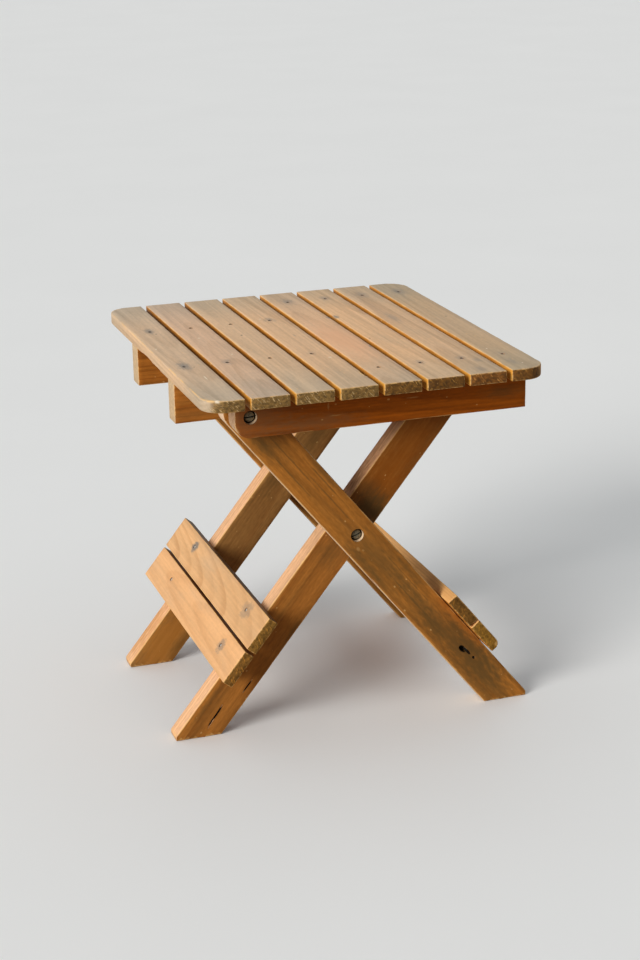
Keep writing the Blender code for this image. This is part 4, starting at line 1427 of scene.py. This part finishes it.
def light_sky(stage):
    """A soft room in front and a paler wall behind, brighter where the camera or a gloss looks at it."""
    world = bpy.context.scene.world or bpy.data.worlds.new("sky")
    bpy.context.scene.world = world
    world.use_nodes = True
    tree = world.node_tree
    tree.nodes.clear()
    towards = parts(tree, add_node(tree, "TexCoord").outputs["Generated"])
    wall = ease(tree, towards[1], *WALL_STEP)
    path = add_node(tree, "LightPath").outputs
    glossy = calc(tree, "MAXIMUM", path["Is Glossy Ray"], path["Is Transmission Ray"])
    light = calc(tree, "MULTIPLY_ADD", wall, stage.wall_light, stage.room_light)
    light = calc(tree, "MULTIPLY_ADD", ease(tree, towards[2], *CEILING_STEP), stage.ceiling_light, light)
    shine = calc(tree, "MULTIPLY_ADD", wall, stage.wall_shine, stage.room_shine)
    strength = add_node(tree, "Mix", {0: glossy, 2: light, 3: shine}).outputs[0]
    strength = calc(tree, "MAXIMUM", strength, times(tree, path["Is Camera Ray"], stage.wall_seen))
    sky = add_node(tree, "Background", {"Color": opaque(stage.sky_colour), "Strength": strength})
    tree.links.new(sky.outputs[0], add_node(tree, "OutputWorld").inputs["Surface"])


class STOOL_OT_stage(bpy.types.Operator):
    """Lay the floor, set the window and the sky, and stand the camera at the photograph's angle"""

    bl_idname = "stool.stage"
    bl_label = "Stage"

    def execute(self, context):
        stage = context.scene.stool_stage
        bpy.ops.object.select_all(action="DESELECT")
        bpy.ops.mesh.primitive_plane_add(size=FLOOR_SIZE)
        floor = context.object
        floor.name = "plain_floor"
        floor.data.materials.append(floor_material(stage))
        bpy.ops.object.light_add(type="SUN", location=WINDOW_SIDE)
        window = context.object
        window.name = "window"
        window.rotation_euler = Vector(WINDOW_SIDE).to_track_quat("Z", "Y").to_euler()
        window.data.energy = stage.window_light
        window.data.angle = stage.window_spread
        window.data.color = stage.window_colour
        light_sky(stage)
        bpy.ops.object.camera_add(location=CAMERA_PLACE)
        camera = context.object
        turn = Matrix.Rotation(-CAMERA_YAW, 3, "Z") @ Matrix.Rotation(math.pi / 2 + CAMERA_PITCH, 3, "X")
        camera.rotation_euler = (turn @ Matrix.Rotation(-CAMERA_ROLL, 3, "Z")).to_euler()
        camera.data.lens = stage.lens
        camera.data.sensor_width = SENSOR_WIDTH
        context.scene.camera = camera
        context.scene.view_settings.view_transform = "Standard"
        return {"FINISHED"}


class STOOL_PT_looks(bpy.types.Panel):
    """Lists the steps that dress the stool and the sizes and colours they use"""

    bl_idname = "STOOL_PT_looks"
    bl_label = "Folding Stool"
    bl_space_type = "VIEW_3D"
    bl_region_type = "UI"
    bl_category = "Stool"

    def draw(self, context):
        for operator in OPERATORS:
            self.layout.operator(operator.bl_idname)
        for settings in SETTINGS:
            group = getattr(context.scene, settings)
            box = self.layout.box()
            for name in group.bl_rna.properties.keys():
                if name not in ("rna_type", "name"):
                    box.prop(group, name)


SETTINGS = {
    "stool_timber": StoolTimberSettings,
    "stool_hardware": StoolHardwareSettings,
    "stool_finish": StoolFinishSettings,
    "stool_stage": StoolStageSettings,
}
OPERATORS = (STOOL_OT_wood_groups, STOOL_OT_slats, STOOL_OT_rails, STOOL_OT_legs, STOOL_OT_rungs,
             STOOL_OT_nails, STOOL_OT_screws, STOOL_OT_washers, STOOL_OT_stage)


def register():
    """Register the settings, operators and panel."""
    for name, settings in SETTINGS.items():
        bpy.utils.register_class(settings)
        setattr(bpy.types.Scene, name, PointerProperty(type=settings))
    for item in (*OPERATORS, STOOL_PT_looks):
        bpy.utils.register_class(item)


def unregister():
    """Take back what register added."""
    for item in (STOOL_PT_looks, *reversed(OPERATORS)):
        bpy.utils.unregister_class(item)
    for name, settings in reversed(SETTINGS.items()):
        delattr(bpy.types.Scene, name)
        bpy.utils.unregister_class(settings)


def main():
    """Dress the stool step by step."""
    register()
    bpy.ops.stool.wood_groups()
    bpy.ops.stool.slats()
    bpy.ops.stool.rails()
    bpy.ops.stool.legs()
    bpy.ops.stool.rungs()
    bpy.ops.stool.nails()
    bpy.ops.stool.screws()
    bpy.ops.stool.washers()
    bpy.ops.stool.stage()


if __name__ == "__main__":
    main()
